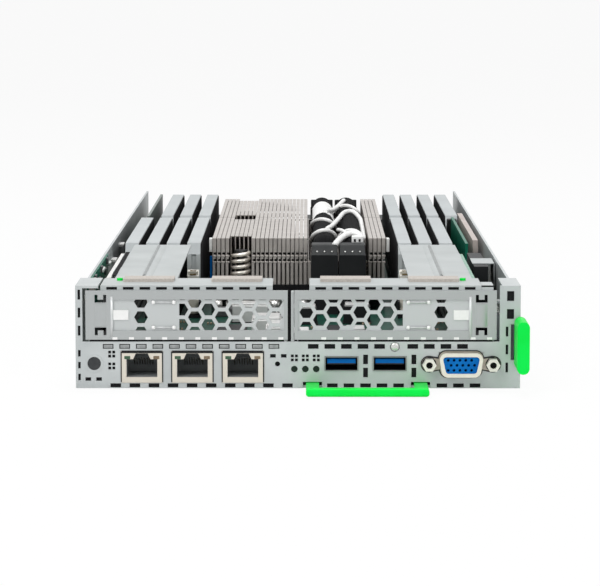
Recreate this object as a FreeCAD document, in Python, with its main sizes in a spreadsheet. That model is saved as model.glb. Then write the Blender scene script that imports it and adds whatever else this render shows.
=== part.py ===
import FreeCAD, Part
import math
import os
import re
import Sketcher

# Half-width 1U rack server node in a sheet-steel tray, open at the top.
# X runs to the right seen from the port end, Y runs into the node and Z is up.
# The origin is the middle of the tray's underside, so the port panel faces -Y.

SIZES = {
    # tray and panel
    "node_width": 174.3,
    "node_height": 40.5,
    "node_depth": 580.0,
    "sheet": 1.0,
    "wall_top": 37.8,
    "wall_run": 480.0,
    "rear_rim": 14.0,
    "panel_flange": 26.0,
    "left_corner": 9.0,
    "right_corner": 7.2,
    "sill_top": 18.4,
    "bay_gap": 1.2,
    "fit_gap": 0.1,
    # mainboard
    "standoff_height": 2.0,
    "standoff_radius": 2.6,
    "standoff_inset": 3.2,
    "first_standoff": 40.0,
    "second_standoff": 16.0,
    "third_standoff": 9.0,
    "fourth_standoff": 108.0,
    "fifth_standoff": 40.0,
    "board_thickness": 1.6,
    "board_side_gap": 1.0,
    "board_front_gap": 1.0,
    "board_rear_gap": 22.0,
    "screw_radius": 1.4,
    "screw_clearance": 0.2,
    "screw_head_radius": 2.0,
    "screw_head_height": 1.8,
    # rows of slots in the panel
    "slot_width": 4.2,
    "slot_pitch": 6.5,
    "bottom_slot_height": 1.6,
    "bottom_slot_low": 0.3,
    "bottom_relief": 8.0,
    "left_bottom_pitch": 7.49,
    "left_foot_inset": 13.55,
    "foot_gap": 1.95,
    "outer_foot_gap": 2.55,
    "outer_foot_margin": 15.0,
    "sill_slot_height": 1.9,
    "sill_slot_drop": 2.8,
    "left_sill_inset": 10.65,
    "sill_gap": 1.5,
    "right_sill_lead": 5.3,
    "outer_sill_lead": 4.9,
    "outer_sill_margin": 7.8,
    "edge_slot_width": 1.0,
    "edge_slot_height": 3.9,
    "edge_slot_pitch": 7.1,
    "left_edge_inset": 0.95,
    "left_edge_low": 20.8,
    "left_foot_low": 3.1,
    "left_foot_height": 2.6,
    "left_foot_pitch": 4.7,
    "right_edge_inset": 5.75,
    "right_edge_low": 6.3,
    "right_window_inset": 5.35,
    "right_window_low": 27.4,
    "right_window_width": 2.8,
    "square_vent": 1.15,
    "square_vent_pitch": 1.6,
    "button_vent_gap": 5.5,
    "button_vent_low": 7.4,
    "button_vent_pitch": 4.7,
    "small_slot_width": 2.2,
    "small_slot_height": 1.4,
    "small_slot_pitch": 4.25,
    "corner_slot_inset": 3.75,
    "corner_slot_low": 2.9,
    "reset_slot_lead": 2.9,
    "reset_slot_low": 12.1,
    "port_vent_width": 1.9,
    "port_vent_height": 3.8,
    "port_vent_low": 4.3,
    "port_vent_pitch": 5.2,
    "panel_screw_x": 38.0,
    "panel_screw_drop": 2.1,
    "panel_screw_radius": 1.9,
    # controls on the panel
    "button_inset": 7.25,
    "button_z": 9.8,
    "button_radius": 2.5,
    "button_proud": 0.6,
    "button_travel": 1.2,
    "button_rim": 0.7,
    "button_rim_depth": 0.8,
    "bezel_width": 1.0,
    "bezel_proud": 0.3,
    "stem_radius": 1.2,
    "switch_width": 6.5,
    "switch_depth": 6.0,
    "switch_setback": 7.0,
    "switch_rise": 3.6,
    "plunger_grip": 2.0,
    "slide_clearance": 0.06,
    "reset_lead": 2.0,
    "reset_z": 9.6,
    "reset_hole_radius": 1.0,
    "reset_radius": 0.8,
    "reset_travel": 0.5,
    "reset_setback": 2.4,
    "light_lead": 0.95,
    "light_z": 7.6,
    "light_pitch": 4.3,
    "light_radius": 1.2,
    "light_setback": 3.0,
    "light_vent_low": 10.6,
    # network ports
    "lan_lead": 7.1,
    "lan_gap": 3.1,
    "lan_width": 16.2,
    "lan_height": 12.6,
    "lan_low": 2.2,
    "lan_depth": 21.0,
    "lan_proud": 0.3,
    "lan_port_width": 12.1,
    "lan_port_height": 7.1,
    "lan_port_low": 2.2,
    "lan_port_depth": 16.0,
    "lan_key_width": 6.7,
    "lan_key_height": 2.3,
    "shield_wall": 0.25,
    "shield_setback": 1.2,
    # serial bus ports
    "usb_lead": 0.9,
    "usb_gap": 5.85,
    "usb_width": 13.1,
    "usb_height": 5.7,
    "usb_low": 6.9,
    "usb_depth": 17.0,
    "usb_wall": 0.3,
    "usb_proud": 0.5,
    "tongue_width": 11.1,
    "tongue_height": 1.9,
    "tongue_drop": 0.75,
    "tongue_setback": 1.2,
    # video port
    "video_inset": 23.25,
    "video_lead": 5.85,
    "video_z": 9.6,
    "video_top_width": 17.2,
    "video_side_taper": 1.5,
    "video_height": 9.0,
    "video_wall": 0.6,
    "video_proud": 4.2,
    "video_corner": 2.2,
    "video_flange_width": 31.0,
    "video_flange_height": 11.6,
    "video_flange_sheet": 0.6,
    "video_insert_setback": 0.5,
    "video_body_depth": 11.0,
    "contact_radius": 0.55,
    "contact_pitch": 2.29,
    "contact_row_pitch": 1.98,
    "jackscrew_spacing": 24.99,
    "jackscrew_flats": 4.75,
    "jackscrew_proud": 4.6,
    "jackscrew_bore": 1.3,
    "jackscrew_bore_depth": 4.8,
    "ear_radius": 3.1,
    # card covers
    "left_cover_margin": 3.95,
    "right_cover_margin": 9.35,
    "cover_split": 2.6,
    "cover_height": 19.4,
    "cover_z": 28.9,
    "cover_sheet": 0.8,
    "cover_tongue": 1.6,
    "recess_inner_margin": 1.4,
    "recess_outer_margin": 10.8,
    "recess_height": 12.3,
    "recess_depth": 1.0,
    "hex_flats": 4.7,
    "hex_pitch": 6.1,
    "hex_rise": 1.0,
    "hex_margin": 3.3,
    "hex_field_end": 2.9,
    "hex_single": 17.9,
    "lance_start": 4.9,
    "lance_width": 8.6,
    "lance_height": 1.5,
    "lance_proud": 0.5,
    "leaf_gap": 2.6,
    "leaf_width": 4.6,
    "leaf_height": 8.8,
    "leaf_bulge": 0.6,
    "catch_rise": 4.9,
    "catch_height": 3.1,
    "catch_leg": 1.2,
    "tab_width": 6.0,
    "tab_height": 3.8,
    "tab_slot": 0.6,
    # riser cages, cards and connectors
    "cage_sheet": 0.6,
    "cage_margin": 5.9,
    "cage_lip": 3.4,
    "cage_slot_margin": 2.3,
    "cage_slot_height": 1.1,
    "plate_width": 25.5,
    "plate_top": 38.5,
    "plate_end": 177.0,
    "left_plate_inset": 23.45,
    "right_plate_inset": 27.45,
    "bead_radius": 3.6,
    "bead_rise": 0.8,
    "bead_margin": 9.0,
    "hanger_length": 18.0,
    "hanger_drop": 8.0,
    "front_hanger": 66.0,
    "rear_hanger": 122.0,
    "gasket_length": 20.0,
    "gasket_width": 11.0,
    "gasket_height": 1.2,
    "gasket_setback": 13.0,
    "outer_gasket_inset": 18.2,
    "inner_gasket_inset": 14.3,
    "pin_inset": 6.5,
    "pin_radius": 1.2,
    "pin_height": 0.9,
    "left_riser_inset": 7.55,
    "right_riser_inset": 13.75,
    "riser_thickness": 1.6,
    "riser_start": 52.0,
    "riser_length": 94.0,
    "riser_top": 37.2,
    "riser_slot_width": 7.0,
    "riser_slot_height": 8.0,
    "riser_bite": 5.0,
    "riser_clearance": 0.1,
    "card_slot_reach": 10.0,
    "card_slot_height": 7.6,
    "card_slot_low": 18.0,
    "card_slot_margin": 2.5,
    "card_slot_groove": 1.8,
    "card_slot_back": 3.3,
    # processors and heat sinks
    "chip_socket_width": 60.0,
    "chip_socket_length": 84.0,
    "chip_socket_height": 4.0,
    "chip_width": 54.0,
    "chip_length": 76.0,
    "chip_height": 3.2,
    "sink_side_gap": 4.6,
    "sink_length": 106.0,
    "sink_start": 212.0,
    "sink_gap": 1.5,
    "sink_base": 4.0,
    "sink_top": 38.0,
    "fin_pitch": 2.02,
    "fin_thickness": 0.5,
    "fin_fold": 1.75,
    "fin_fold_sheet": 0.4,
    "channel_floor": 27.5,
    "sink_hole_inset": 6.0,
    "sink_pocket_depth": 11.0,
    "sink_pocket_gap": 2.0,
    "channel_side_gap": 1.5,
    "sink_screw_radius": 1.8,
    "open_screw_top": 32.0,
    "covered_screw_top": 27.4,
    "sink_screw_head": 3.0,
    "sink_head_height": 3.0,
    "spring_wire": 0.8,
    # memory
    "memory_wall_gap": 8.66,
    "memory_pitch": 9.43,
    "front_memory_start": 180.0,
    "row_gap": 2.5,
    "blank_latch_gap": 8.0,
    "socket_width": 6.4,
    "socket_height": 7.4,
    "socket_groove": 1.5,
    "groove_depth": 4.6,
    "groove_end": 2.0,
    "latch_room": 7.0,
    "latch_width": 4.6,
    "latch_side_gap": 0.2,
    "latch_axle_radius": 1.9,
    "latch_axle_inset": 3.4,
    "latch_axle_rise": 3.2,
    "latch_arm": 2.6,
    "latch_top": 26.0,
    "latch_thumb": 2.2,
    "latch_hook": 1.2,
    "latch_hook_drop": 6.0,
    "blank_length": 131.0,
    "blank_width": 6.0,
    "blank_top": 38.0,
    "blank_bevel": 5.0,
    "blank_groove": 1.0,
    "blank_groove_width": 2.2,
    "edge_thickness": 1.27,
    "edge_bottom_gap": 0.3,
    "module_bite": 3.0,
    "module_chip_length": 11.0,
    "module_chip_height": 8.0,
    "module_chip_sheet": 1.0,
    "module_chip_pitch": 14.6,
    "module_chip_low": 17.0,
    # cables
    "plug_width": 12.4,
    "plug_depth": 15.0,
    "plug_bevel": 8.2,
    "plug_gap": 3.4,
    "cable_spacing": 12.9,
    "cable_radius": 5.5,
    "cable_bend": 15.0,
    "exit_run": 2.0,
    "cable_clearance": 0.7,
    "tie_width": 3.0,
    "tie_sheet": 0.6,
    "tie_clearance": 0.05,
    "first_tie": 12.0,
    "tie_pitch": 52.0,
    # handle and latch
    "handle_x": 26.9,
    "handle_width": 47.5,
    "handle_leg": 5.1,
    "handle_reach": 24.0,
    "handle_strip": 1.2,
    "handle_inside": 26.0,
    "grip_depth": 4.6,
    "grip_height": 3.3,
    "grip_round": 1.4,
    "mouse_hole_gap": 1.2,
    "mouse_hole_rise": 0.3,
    "rivet_radius": 1.7,
    "rivet_height": 0.5,
    "lever_thickness": 0.9,
    "lever_height": 13.6,
    "lever_z": 18.2,
    "lever_gap": 0.3,
    "lever_travel": 1.7,
    "lever_reach": 10.0,
    "pivot_setback": 70.0,
    "pivot_inset": 2.6,
    "pivot_radius": 1.2,
    "knuckle_wall": 1.0,
    "knuckle_height": 9.0,
    "pivot_clearance": 0.05,
    "pivot_ear": 3.2,
    "hook_start": 31.0,
    "hook_length": 9.0,
    "hook_height": 6.8,
    "hook_proud": 1.6,
    "cap_width": 4.8,
    "cap_height": 20.4,
    "cap_length": 17.0,
    "cap_gap": 1.0,
    "cap_overhang": 2.3,
    "cap_round": 2.3,
    "coil_wire": 0.7,
    # seals, baffles and rear connectors
    "baffle_start": 203.0,
    "baffle_length": 138.0,
    "baffle_sheet": 2.4,
    "baffle_top": 38.0,
    "baffle_gap": 2.6,
    "block_start": 106.0,
    "block_length": 56.0,
    "left_block_top": 20.0,
    "right_block_top": 36.4,
    "right_block_width": 6.0,
    "left_block_width": 2.8,
    "left_block_gap": 0.4,
    "right_block_gap": 4.0,
    "dock_length": 32.0,
    "dock_height": 11.0,
    "dock_setback": 2.0,
    "power_dock_x": -62.0,
    "power_dock_width": 44.0,
    "signal_dock_x": 2.0,
    "signal_dock_width": 58.0,
    "dock_cell_width": 7.0,
    "dock_cell_height": 6.0,
    "dock_cell_depth": 2.5,
    "dock_cell_pitch": 9.0,
}

MEMORY_PER_BANK = 4
LAN_PORTS = 3
USB_PORTS = 2
STATUS_LIGHTS = 3
CONTACTS_PER_ROW = 5
EDGE_FINS = 4

# Sizes that follow from the ones above, kept in the same sheet as formulas.
# The free room along the port row is shared out between the leads and gaps in its ports.
DERIVED = {
    "inner_face": "node_width / 2 - 2 * sheet",
    "cover_width": "(node_width - left_cover_margin - right_cover_margin - cover_split) / 2",
    "left_bay_x": "left_cover_margin + cover_width / 2 - node_width / 2",
    "right_bay_x": "node_width / 2 - right_cover_margin - cover_width / 2",
    "recess_inner": "cover_width / 2 - recess_inner_margin",
    "recess_outer": "cover_width / 2 - recess_outer_margin",
    "hex_first": "hex_margin - recess_inner",
    "hex_column": "hex_pitch * sqrt(3) / 2",
    "leaf_start": "recess_outer + leaf_gap",
    "cage_width": "cover_width - 2 * cage_margin",
    "cage_slot_first": "cage_slot_margin - cage_width / 2",
    "cage_slot_end": "cage_width / 2 - cage_slot_margin",
    "left_plate_x": "left_plate_inset - inner_face",
    "right_plate_x": "inner_face - right_plate_inset",
    "left_riser_x": "left_riser_inset - inner_face",
    "right_riser_x": "inner_face - right_riser_inset",
    "outer_gasket": "cage_width / 2 - outer_gasket_inset",
    "inner_gasket": "inner_gasket_inset - cage_width / 2",
    "pin_offset": "cage_width / 2 - pin_inset",
    "button_x": "button_inset - node_width / 2",
    "button_vent_x": "button_x + button_vent_gap",
    "corner_slot_x": "corner_slot_inset - node_width / 2",
    "left_edge_x": "left_edge_inset - node_width / 2",
    "right_edge_x": "node_width / 2 - right_edge_inset",
    "right_window_x": "node_width / 2 - right_window_inset",
    "video_x": "node_width / 2 - video_inset",
    "shield_width": "lan_width + 2 * shield_wall",
    "light_width": f"{STATUS_LIGHTS - 1} * light_pitch + 4 * light_radius",
    "port_row": "video_x - video_flange_width / 2 - button_x - switch_width / 2",
    "port_parts": f"{LAN_PORTS} * shield_width + switch_width + light_width + {USB_PORTS} * usb_width",
    "port_leads": "lan_lead + reset_lead + light_lead + usb_lead + video_lead",
    "port_gaps": f"{LAN_PORTS - 1} * lan_gap + {USB_PORTS - 1} * usb_gap",
    "port_ease": "(port_row - port_parts) / (port_leads + port_gaps)",
    "lan_pitch": "shield_width + port_ease * lan_gap",
    "lan_start": "button_x + switch_width / 2 + port_ease * lan_lead",
    "lan_first_x": "lan_start + shield_width / 2",
    "lan_end": f"lan_start + {LAN_PORTS - 1} * lan_pitch + shield_width",
    "reset_x": "lan_end + port_ease * reset_lead + switch_width / 2",
    "reset_slot_x": "reset_x - reset_slot_lead",
    "light_start": "reset_x + switch_width / 2 + port_ease * light_lead",
    "light_x": "light_start + 2 * light_radius",
    "usb_first_x": "light_start + light_width + port_ease * usb_lead + usb_width / 2",
    "usb_pitch": "usb_width + port_ease * usb_gap",
    "left_bottom_first": "left_foot_inset - node_width / 2",
    "left_bottom_end": "handle_x - handle_width / 2 - mouse_hole_gap - foot_gap",
    "right_bottom_first": "handle_x - handle_width / 2 + handle_leg + mouse_hole_gap + foot_gap",
    "right_bottom_end": "handle_x + handle_width / 2 - handle_leg - mouse_hole_gap - foot_gap",
    "outer_bottom_first": "handle_x + handle_width / 2 + mouse_hole_gap + outer_foot_gap",
    "outer_bottom_end": "node_width / 2 - outer_foot_margin",
    "left_sill_first": "left_sill_inset - node_width / 2",
    "left_sill_end": "left_bay_x + cover_width / 2 - sill_gap",
    "right_sill_first": "right_bay_x - cover_width / 2 + right_sill_lead",
    "right_sill_end": "panel_screw_x - panel_screw_radius - sill_gap",
    "outer_sill_first": "panel_screw_x + outer_sill_lead",
    "outer_sill_end": "right_bay_x + cover_width / 2 - outer_sill_margin",
    "memory_first_x": f"inner_face - memory_wall_gap - {MEMORY_PER_BANK - 1} * memory_pitch",
    "socket_length": "blank_length + groove_end + blank_latch_gap",
    "sink_width": "2 * (memory_first_x - socket_width / 2 - sink_side_gap)",
    "channel_width": "cable_spacing + 2 * (cable_radius + tie_clearance + tie_sheet + channel_side_gap)",
    "sink_pocket_width": "2 * (sink_screw_head + sink_pocket_gap)",
}

# setbacks of the rows of stand-offs behind the panel's face
STANDOFF_ROWS = (
    "first_standoff",
    "block_start + block_length + second_standoff",
    "baffle_start + baffle_length + third_standoff",
    "node_depth - fourth_standoff",
    "node_depth - fifth_standoff",
)

FRONT = "(-node_depth / 2)"
REAR = "(node_depth / 2)"
WALL = "(node_width / 2 - sheet)"
INNER = "(node_width / 2 - 2 * sheet)"
BOARD_LOW = "(sheet + standoff_height)"
BOARD_TOP = "(sheet + standoff_height + board_thickness)"
SOCKET_TOP = f"({BOARD_TOP} + socket_height)"
GROOVE_LOW = f"({SOCKET_TOP} - groove_depth)"
CHIP_LOW = f"({BOARD_TOP} + chip_socket_height)"
SINK_LOW = f"({CHIP_LOW} + chip_height)"
BASE_TOP = f"({SINK_LOW} + sink_base)"
CABLE_Z = "(channel_floor + cable_clearance + cable_radius)"
HALF_BEND = "(cable_bend * tan(22.5 deg))"
EXIT_RISE = f"((exit_run + {HALF_BEND}) / sqrt(2))"
EXIT_Z = f"({CABLE_Z} - {EXIT_RISE})"
PLUG_TOP = f"({EXIT_Z} + plug_bevel / 2)"
RECESS_LOW = "(cover_z - recess_height / 2)"

doc = FreeCAD.newDocument("server_node")
dims = doc.addObject("Spreadsheet::Sheet", "dims")
rows = [(alias, str(value)) for alias, value in SIZES.items()]
rows += [(alias, f"={formula}") for alias, formula in DERIVED.items()]
for row, (alias, content) in enumerate(rows, start=1):
    dims.set(f"A{row}", alias)
    dims.set(f"B{row}", content)
    dims.setAlias(f"B{row}", alias)
doc.recompute()

pieces = []


def tie(text):
    """Point every size named in an expression at its cell in the sheet."""
    def cell(word):
        return f"dims.{word[0]}" if word[0] in SIZES or word[0] in DERIVED else word[0]
    return re.sub(r"[a-z][a-z0-9_]*", cell, str(text))


def place(item, x, y, z):
    for axis, text in zip("xyz", (x, y, z)):
        item.setExpression(f"Placement.Base.{axis}", tie(text))
    return item


def finish(item, label):
    """Name a finished sub-part and put it on the list that is written out."""
    item.Label = label
    pieces.append(item)
    return item


def box(x, y, z, width, depth, height):
    solid = doc.addObject("Part::Box", "block")
    for side, text in (("Length", width), ("Width", depth), ("Height", height)):
        solid.setExpression(side, tie(text))
    return place(solid, x, y, z)


UPRIGHT = FreeCAD.Rotation()
INWARD = FreeCAD.Rotation(FreeCAD.Vector(1, 0, 0), -90)


def rod(x, y, z, radius, length, turn=UPRIGHT):
    solid = doc.addObject("Part::Cylinder", "rod")
    solid.Placement = FreeCAD.Placement(FreeCAD.Vector(), turn)
    solid.setExpression("Radius", tie(radius))
    solid.setExpression("Height", tie(length))
    return place(solid, x, y, z)


def hexagon(x, y, z, flats, length):
    solid = doc.addObject("Part::Prism", "hexagon")
    solid.Polygon = 6
    solid.Placement = FreeCAD.Placement(FreeCAD.Vector(), INWARD)
    solid.setExpression("Circumradius", tie(f"({flats}) / sqrt(3)"))
    solid.setExpression("Height", tie(length))
    return place(solid, x, y, z)


def fuse(*solids):
    joined = doc.addObject("Part::MultiFuse", "joined")
    joined.Shapes = list(solids)
    joined.Refine = True
    return joined


def group(*solids):
    together = doc.addObject("Part::Compound", "together")
    together.Links = list(solids)
    return together


def cut(base, *tools):
    result = doc.addObject("Part::Cut", "cut")
    result.Base = base
    result.Tool = tools[0] if len(tools) == 1 else group(*tools)
    return result


def common(first, second):
    result = doc.addObject("Part::Common", "common")
    result.Base = first
    result.Tool = second
    return result


def tube(x, y, z, inner, outer, length, turn=UPRIGHT):
    return cut(rod(x, y, z, outer, length, turn), rod(x, y, z, inner, length, turn))


def origin(body, role):
    return next(item for item in body.Origin.OriginFeatures if item.Role == role)


def new_body(name):
    body = doc.addObject("PartDesign::Body", name)
    body.AllowCompound = True
    return body


def pin_point(sketch, curve, end, x, y):
    """Hold one point of a sketch at a place given by two expressions."""
    for kind, text in (("DistanceX", x), ("DistanceY", y)):
        number = sketch.addConstraint(Sketcher.Constraint(kind, -1, 1, curve, end, 1.0))
        sketch.setExpression(f"Constraints[{number}]", tie(text))


def draw_outline(sketch, points):
    first = sketch.GeometryCount
    count = len(points)
    corners = [FreeCAD.Vector(n, n * n, 0) for n in range(count)]
    lines = [Part.LineSegment(corners[n], corners[(n + 1) % count]) for n in range(count)]
    sketch.addGeometry(lines, False)
    for n in range(count):
        joint = Sketcher.Constraint("Coincident", first + n, 2, first + (n + 1) % count, 1)
        sketch.addConstraint(joint)
    for n, (x, y) in enumerate(points):
        pin_point(sketch, first + n, 1, x, y)


def draw_circle(sketch, x, y, radius):
    curve = sketch.addGeometry(Part.Circle(FreeCAD.Vector(), FreeCAD.Vector(0, 0, 1), 1.0), False)
    pin_point(sketch, curve, 3, x, y)
    number = sketch.addConstraint(Sketcher.Constraint("Radius", curve, 1.0))
    sketch.setExpression(f"Constraints[{number}]", tie(radius))


def rectangle(x, y, width, height):
    right = f"{x} + {width}"
    top = f"{y} + {height}"
    return [(x, y), (right, y), (right, top), (x, top)]


def new_sketch(body, plane, offset, loops):
    """Draw outlines (lists of points) and circles (x, y, radius) on a plane of the body."""
    sketch = body.newObject("Sketcher::SketchObject", "sketch")
    sketch.AttachmentSupport = (origin(body, plane), [""])
    sketch.MapMode = "FlatFace"
    sign = "-1" if plane == "XZ_Plane" else "1"
    sketch.setExpression("AttachmentOffset.Base.z", tie(f"{sign} * ({offset})"))
    for loop in loops:
        if isinstance(loop, tuple):
            draw_circle(sketch, *loop)
        else:
            draw_outline(sketch, loop)
    return sketch


def pad(body, plane, offset, length, *loops):
    """Raise outlines towards +X, +Y or +Z from their plane."""
    feature = body.newObject("PartDesign::Pad", "pad")
    feature.Profile = new_sketch(body, plane, offset, loops)
    feature.setExpression("Length", tie(length))
    feature.Reversed = plane == "XZ_Plane"
    return feature


def pocket(body, plane, offset, length, *loops):
    """Cut outlines towards +X, +Y or +Z from their plane."""
    feature = body.newObject("PartDesign::Pocket", "pocket")
    feature.Profile = new_sketch(body, plane, offset, loops)
    feature.setExpression("Length", tie(length))
    feature.Reversed = plane != "XZ_Plane"
    return feature


def repeat(body, feature, axis, step, count):
    pattern = body.newObject("PartDesign::LinearPattern", "pattern")
    pattern.Originals = [feature]
    pattern.Direction = (origin(body, axis), [""])
    pattern.setExpression("Length", tie(f"({step}) * {count - 1}"))
    pattern.Occurrences = count
    body.Tip = pattern
    return pattern


def round_edges(body, feature, radius, *ways):
    """Round every straight edge of a feature that runs along one of the directions."""
    feature.Profile[0].recompute()
    feature.recompute()
    names = []
    for number, edge in enumerate(feature.Shape.Edges, start=1):
        if edge.Curve.TypeId != "Part::GeomLine":
            continue
        if any(abs(edge.tangentAt(0).dot(way)) > 0.999 for way in ways):
            names.append(f"Edge{number}")
    fillet = body.newObject("PartDesign::Fillet", "fillet")
    fillet.Base = (feature, names)
    fillet.setExpression("Radius", tie(radius))
    return fillet


ALONG_X = FreeCAD.Vector(1, 0, 0)
ALONG_Y = FreeCAD.Vector(0, 1, 0)


def span(sign, centre, start, width):
    """Lower end of a span that starts a distance out from a centre, to either side."""
    if sign > 0:
        return f"{centre} + {start}"
    return f"{centre} - ({start}) - ({width})"


def fit_count(first, step, end):
    """How many panel slots fit between two places at a given step."""
    room = getattr(dims, end) - getattr(dims, first) - dims.slot_width
    return int(room / getattr(dims, step)) + 1


def standoff_places():
    for setback in STANDOFF_ROWS:
        for side in ("-1", "1"):
            yield f"{side} * ({INNER} - standoff_inset)", f"{FRONT} + {setback}"


# rows of slots at the foot of the panel, as (first place, step, end)
FOOT_ROWS = (
    ("left_bottom_first", "left_bottom_pitch", "left_bottom_end"),
    ("right_bottom_first", "slot_pitch", "right_bottom_end"),
    ("outer_bottom_first", "slot_pitch", "outer_bottom_end"),
)
# rows of slots under the card covers
SILL_ROWS = (
    ("left_sill_first", "slot_pitch", "left_sill_end"),
    ("right_sill_first", "slot_pitch", "right_sill_end"),
    ("outer_sill_first", "slot_pitch", "outer_sill_end"),
)

LEVER_LOW = "(lever_z - lever_height / 2)"
LEVER_X = f"({WALL} - fit_gap - lever_thickness)"
PIVOT_X = f"({INNER} - pivot_inset)"
PIVOT_Y = f"({FRONT} + pivot_setback)"
EAR_LOW = f"({LEVER_LOW} - lever_gap - sheet)"
EAR_TOP = f"({LEVER_LOW} + lever_height + lever_gap)"


def make_tray():
    body = new_body("tray_body")
    start = f"{FRONT} + sheet"
    pad(body, "XY_Plane", "0", "sheet", rectangle(f"-{WALL}", start, f"2 * {WALL}", "node_depth - sheet"))
    wall_end = f"{FRONT} + wall_run"
    profile = [(start, "0"), (REAR, "0"), (REAR, "rear_rim"), (wall_end, "rear_rim"),
               (wall_end, "wall_top"), (start, "wall_top")]
    pad(body, "YZ_Plane", f"-{WALL}", "sheet", profile)
    pad(body, "YZ_Plane", INNER, "sheet", profile)
    pad(body, "XY_Plane", "sheet", "standoff_height",
        *[(x, y, "standoff_radius") for x, y in standoff_places()])
    pocket(body, "XY_Plane", "sheet", "standoff_height",
           *[(x, y, "screw_radius + screw_clearance / 2") for x, y in standoff_places()])
    for first, step, end in FOOT_ROWS:
        relief = pocket(body, "XY_Plane", "0", "sheet",
                        rectangle(first, start, "slot_width", "bottom_relief"))
        repeat(body, relief, "X_Axis", step, fit_count(first, step, end))
    pocket(body, "YZ_Plane", INNER, "sheet",
           rectangle(start, f"{LEVER_LOW} - lever_gap", "pivot_setback + pivot_ear",
                     "lever_height + 2 * lever_gap"))
    ear = rectangle(f"{PIVOT_X} - pivot_ear", f"{PIVOT_Y} - pivot_ear",
                    "pivot_ear + pivot_inset", "2 * pivot_ear")
    hole = (PIVOT_X, PIVOT_Y, "pivot_radius + pivot_clearance / 2")
    for low in (EAR_LOW, EAR_TOP):
        pad(body, "XY_Plane", low, "sheet", ear, hole)
    finish(body, "tray")


def make_front_panel():
    body = new_body("panel_body")
    left = "left_bay_x - cover_width / 2 - bay_gap"
    right = "right_bay_x + cover_width / 2 + bay_gap"
    edge = "node_width / 2"
    frame = [(f"-{edge}", "0"), (edge, "0"), (edge, "node_height"), (right, "node_height"),
             (right, "sill_top"), (left, "sill_top"), (left, "node_height"), (f"-{edge}", "node_height")]
    pad(body, "XZ_Plane", FRONT, "sheet", frame)
    top = "node_height - sheet"
    pad(body, "XY_Plane", top, "sheet",
        rectangle(f"-{edge}", FRONT, "left_corner", "sheet + panel_flange"),
        rectangle(f"{edge} - right_corner", FRONT, "right_corner", "sheet + panel_flange"))
    for side in (f"-{edge}", f"{edge} - sheet"):
        pad(body, "YZ_Plane", side, "sheet", rectangle(FRONT, "sheet", "sheet + panel_flange", top))
    pad(body, "XZ_Plane", f"{FRONT} - bezel_proud", "bezel_proud",
        ("button_x", "button_z", "button_radius + bezel_width"))
    face = f"{FRONT} - bezel_proud"
    through = "sheet + bezel_proud"
    tools = []

    def window(x, z, width, height):
        tools.append(box(x, face, z, width, through, height))

    def hole(x, z, radius):
        tools.append(rod(x, face, z, radius, through, INWARD))

    def row(count, step, x, z, width, height):
        for n in range(count):
            window(f"{x} + {n} * {step}", z, width, height)

    def column(count, step, x, z, width, height):
        for n in range(count):
            window(x, f"{z} + {n} * {step}", width, height)

    for first, step, end in FOOT_ROWS:
        row(fit_count(first, step, end), step, first, "bottom_slot_low", "slot_width", "bottom_slot_height")
    for first, step, end in SILL_ROWS:
        row(fit_count(first, step, end), step, first, "sill_top - sill_slot_drop",
            "slot_width", "sill_slot_height")
    column(3, "edge_slot_pitch", "left_edge_x", "left_edge_low", "edge_slot_width", "edge_slot_height")
    column(3, "left_foot_pitch", "left_edge_x", "left_foot_low", "edge_slot_width", "left_foot_height")
    column(3, "edge_slot_pitch", "right_edge_x", "right_edge_low", "edge_slot_width", "edge_slot_height")
    column(2, "edge_slot_pitch", "right_window_x", "right_window_low",
           "right_window_width", "edge_slot_height")
    lattices = [("button_vent_x", f"button_vent_low + {n} * button_vent_pitch") for n in range(2)]
    for n in range(STATUS_LIGHTS):
        light = f"light_x + {n} * light_pitch"
        lattices.append((f"{light} - square_vent_pitch / 2 - square_vent / 2", "light_vent_low"))
        hole(light, "light_z", "light_radius + fit_gap")
    for x, z in lattices:
        for line in range(2):
            row(2, "square_vent_pitch", x, f"{z} + {line} * square_vent_pitch",
                "square_vent", "square_vent")
    for x, z in (("corner_slot_x", "corner_slot_low"), ("reset_slot_x", "reset_slot_low")):
        row(2, "small_slot_pitch", x, z, "small_slot_width", "small_slot_height")
    for line in range(2):
        row(USB_PORTS, "usb_pitch", "usb_first_x + usb_pitch / 2 - port_vent_width / 2",
            f"port_vent_low + {line} * port_vent_pitch", "port_vent_width", "port_vent_height")
    hole("button_x", "button_z", "button_radius + fit_gap")
    hole("reset_x", "reset_z", "reset_hole_radius")
    hole("panel_screw_x", "sill_top - panel_screw_drop", "panel_screw_radius")
    row(LAN_PORTS, "lan_pitch", "lan_first_x - lan_width / 2 - fit_gap", "lan_low - fit_gap",
        "lan_width + 2 * fit_gap", "lan_height + 2 * fit_gap")
    row(USB_PORTS, "usb_pitch", "usb_first_x - usb_width / 2 - fit_gap", "usb_low - fit_gap",
        "usb_width + 2 * fit_gap", "usb_height + 2 * fit_gap")
    for side in ("-1", "1"):
        hole(f"video_x + {side} * jackscrew_spacing / 2", "video_z", "ear_radius")
    row(2, "(handle_width - handle_leg)", "handle_x - handle_width / 2 - mouse_hole_gap", "0",
        "handle_leg + 2 * mouse_hole_gap", "sheet + handle_strip + mouse_hole_rise")
    window(f"{LEVER_X} - lever_travel - fit_gap", f"{LEVER_LOW} - lever_gap",
           "lever_travel + lever_thickness + 2 * fit_gap", "lever_height + 2 * lever_gap")
    port = new_body("video_opening")
    pad(port, "XZ_Plane", face, through, shell_outline("2 * fit_gap"))
    finish(cut(body, port, *tools), "front_panel")


def shell_outline(grow):
    """The video port's D: wide at the top, narrower at the foot."""
    half = f"(video_top_width / 2 + {grow})"
    rise = f"(video_height / 2 + {grow})"
    return [(f"video_x - {half} + video_side_taper", f"video_z - {rise}"),
            (f"video_x + {half} - video_side_taper", f"video_z - {rise}"),
            (f"video_x + {half}", f"video_z + {rise}"),
            (f"video_x - {half}", f"video_z + {rise}")]


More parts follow.
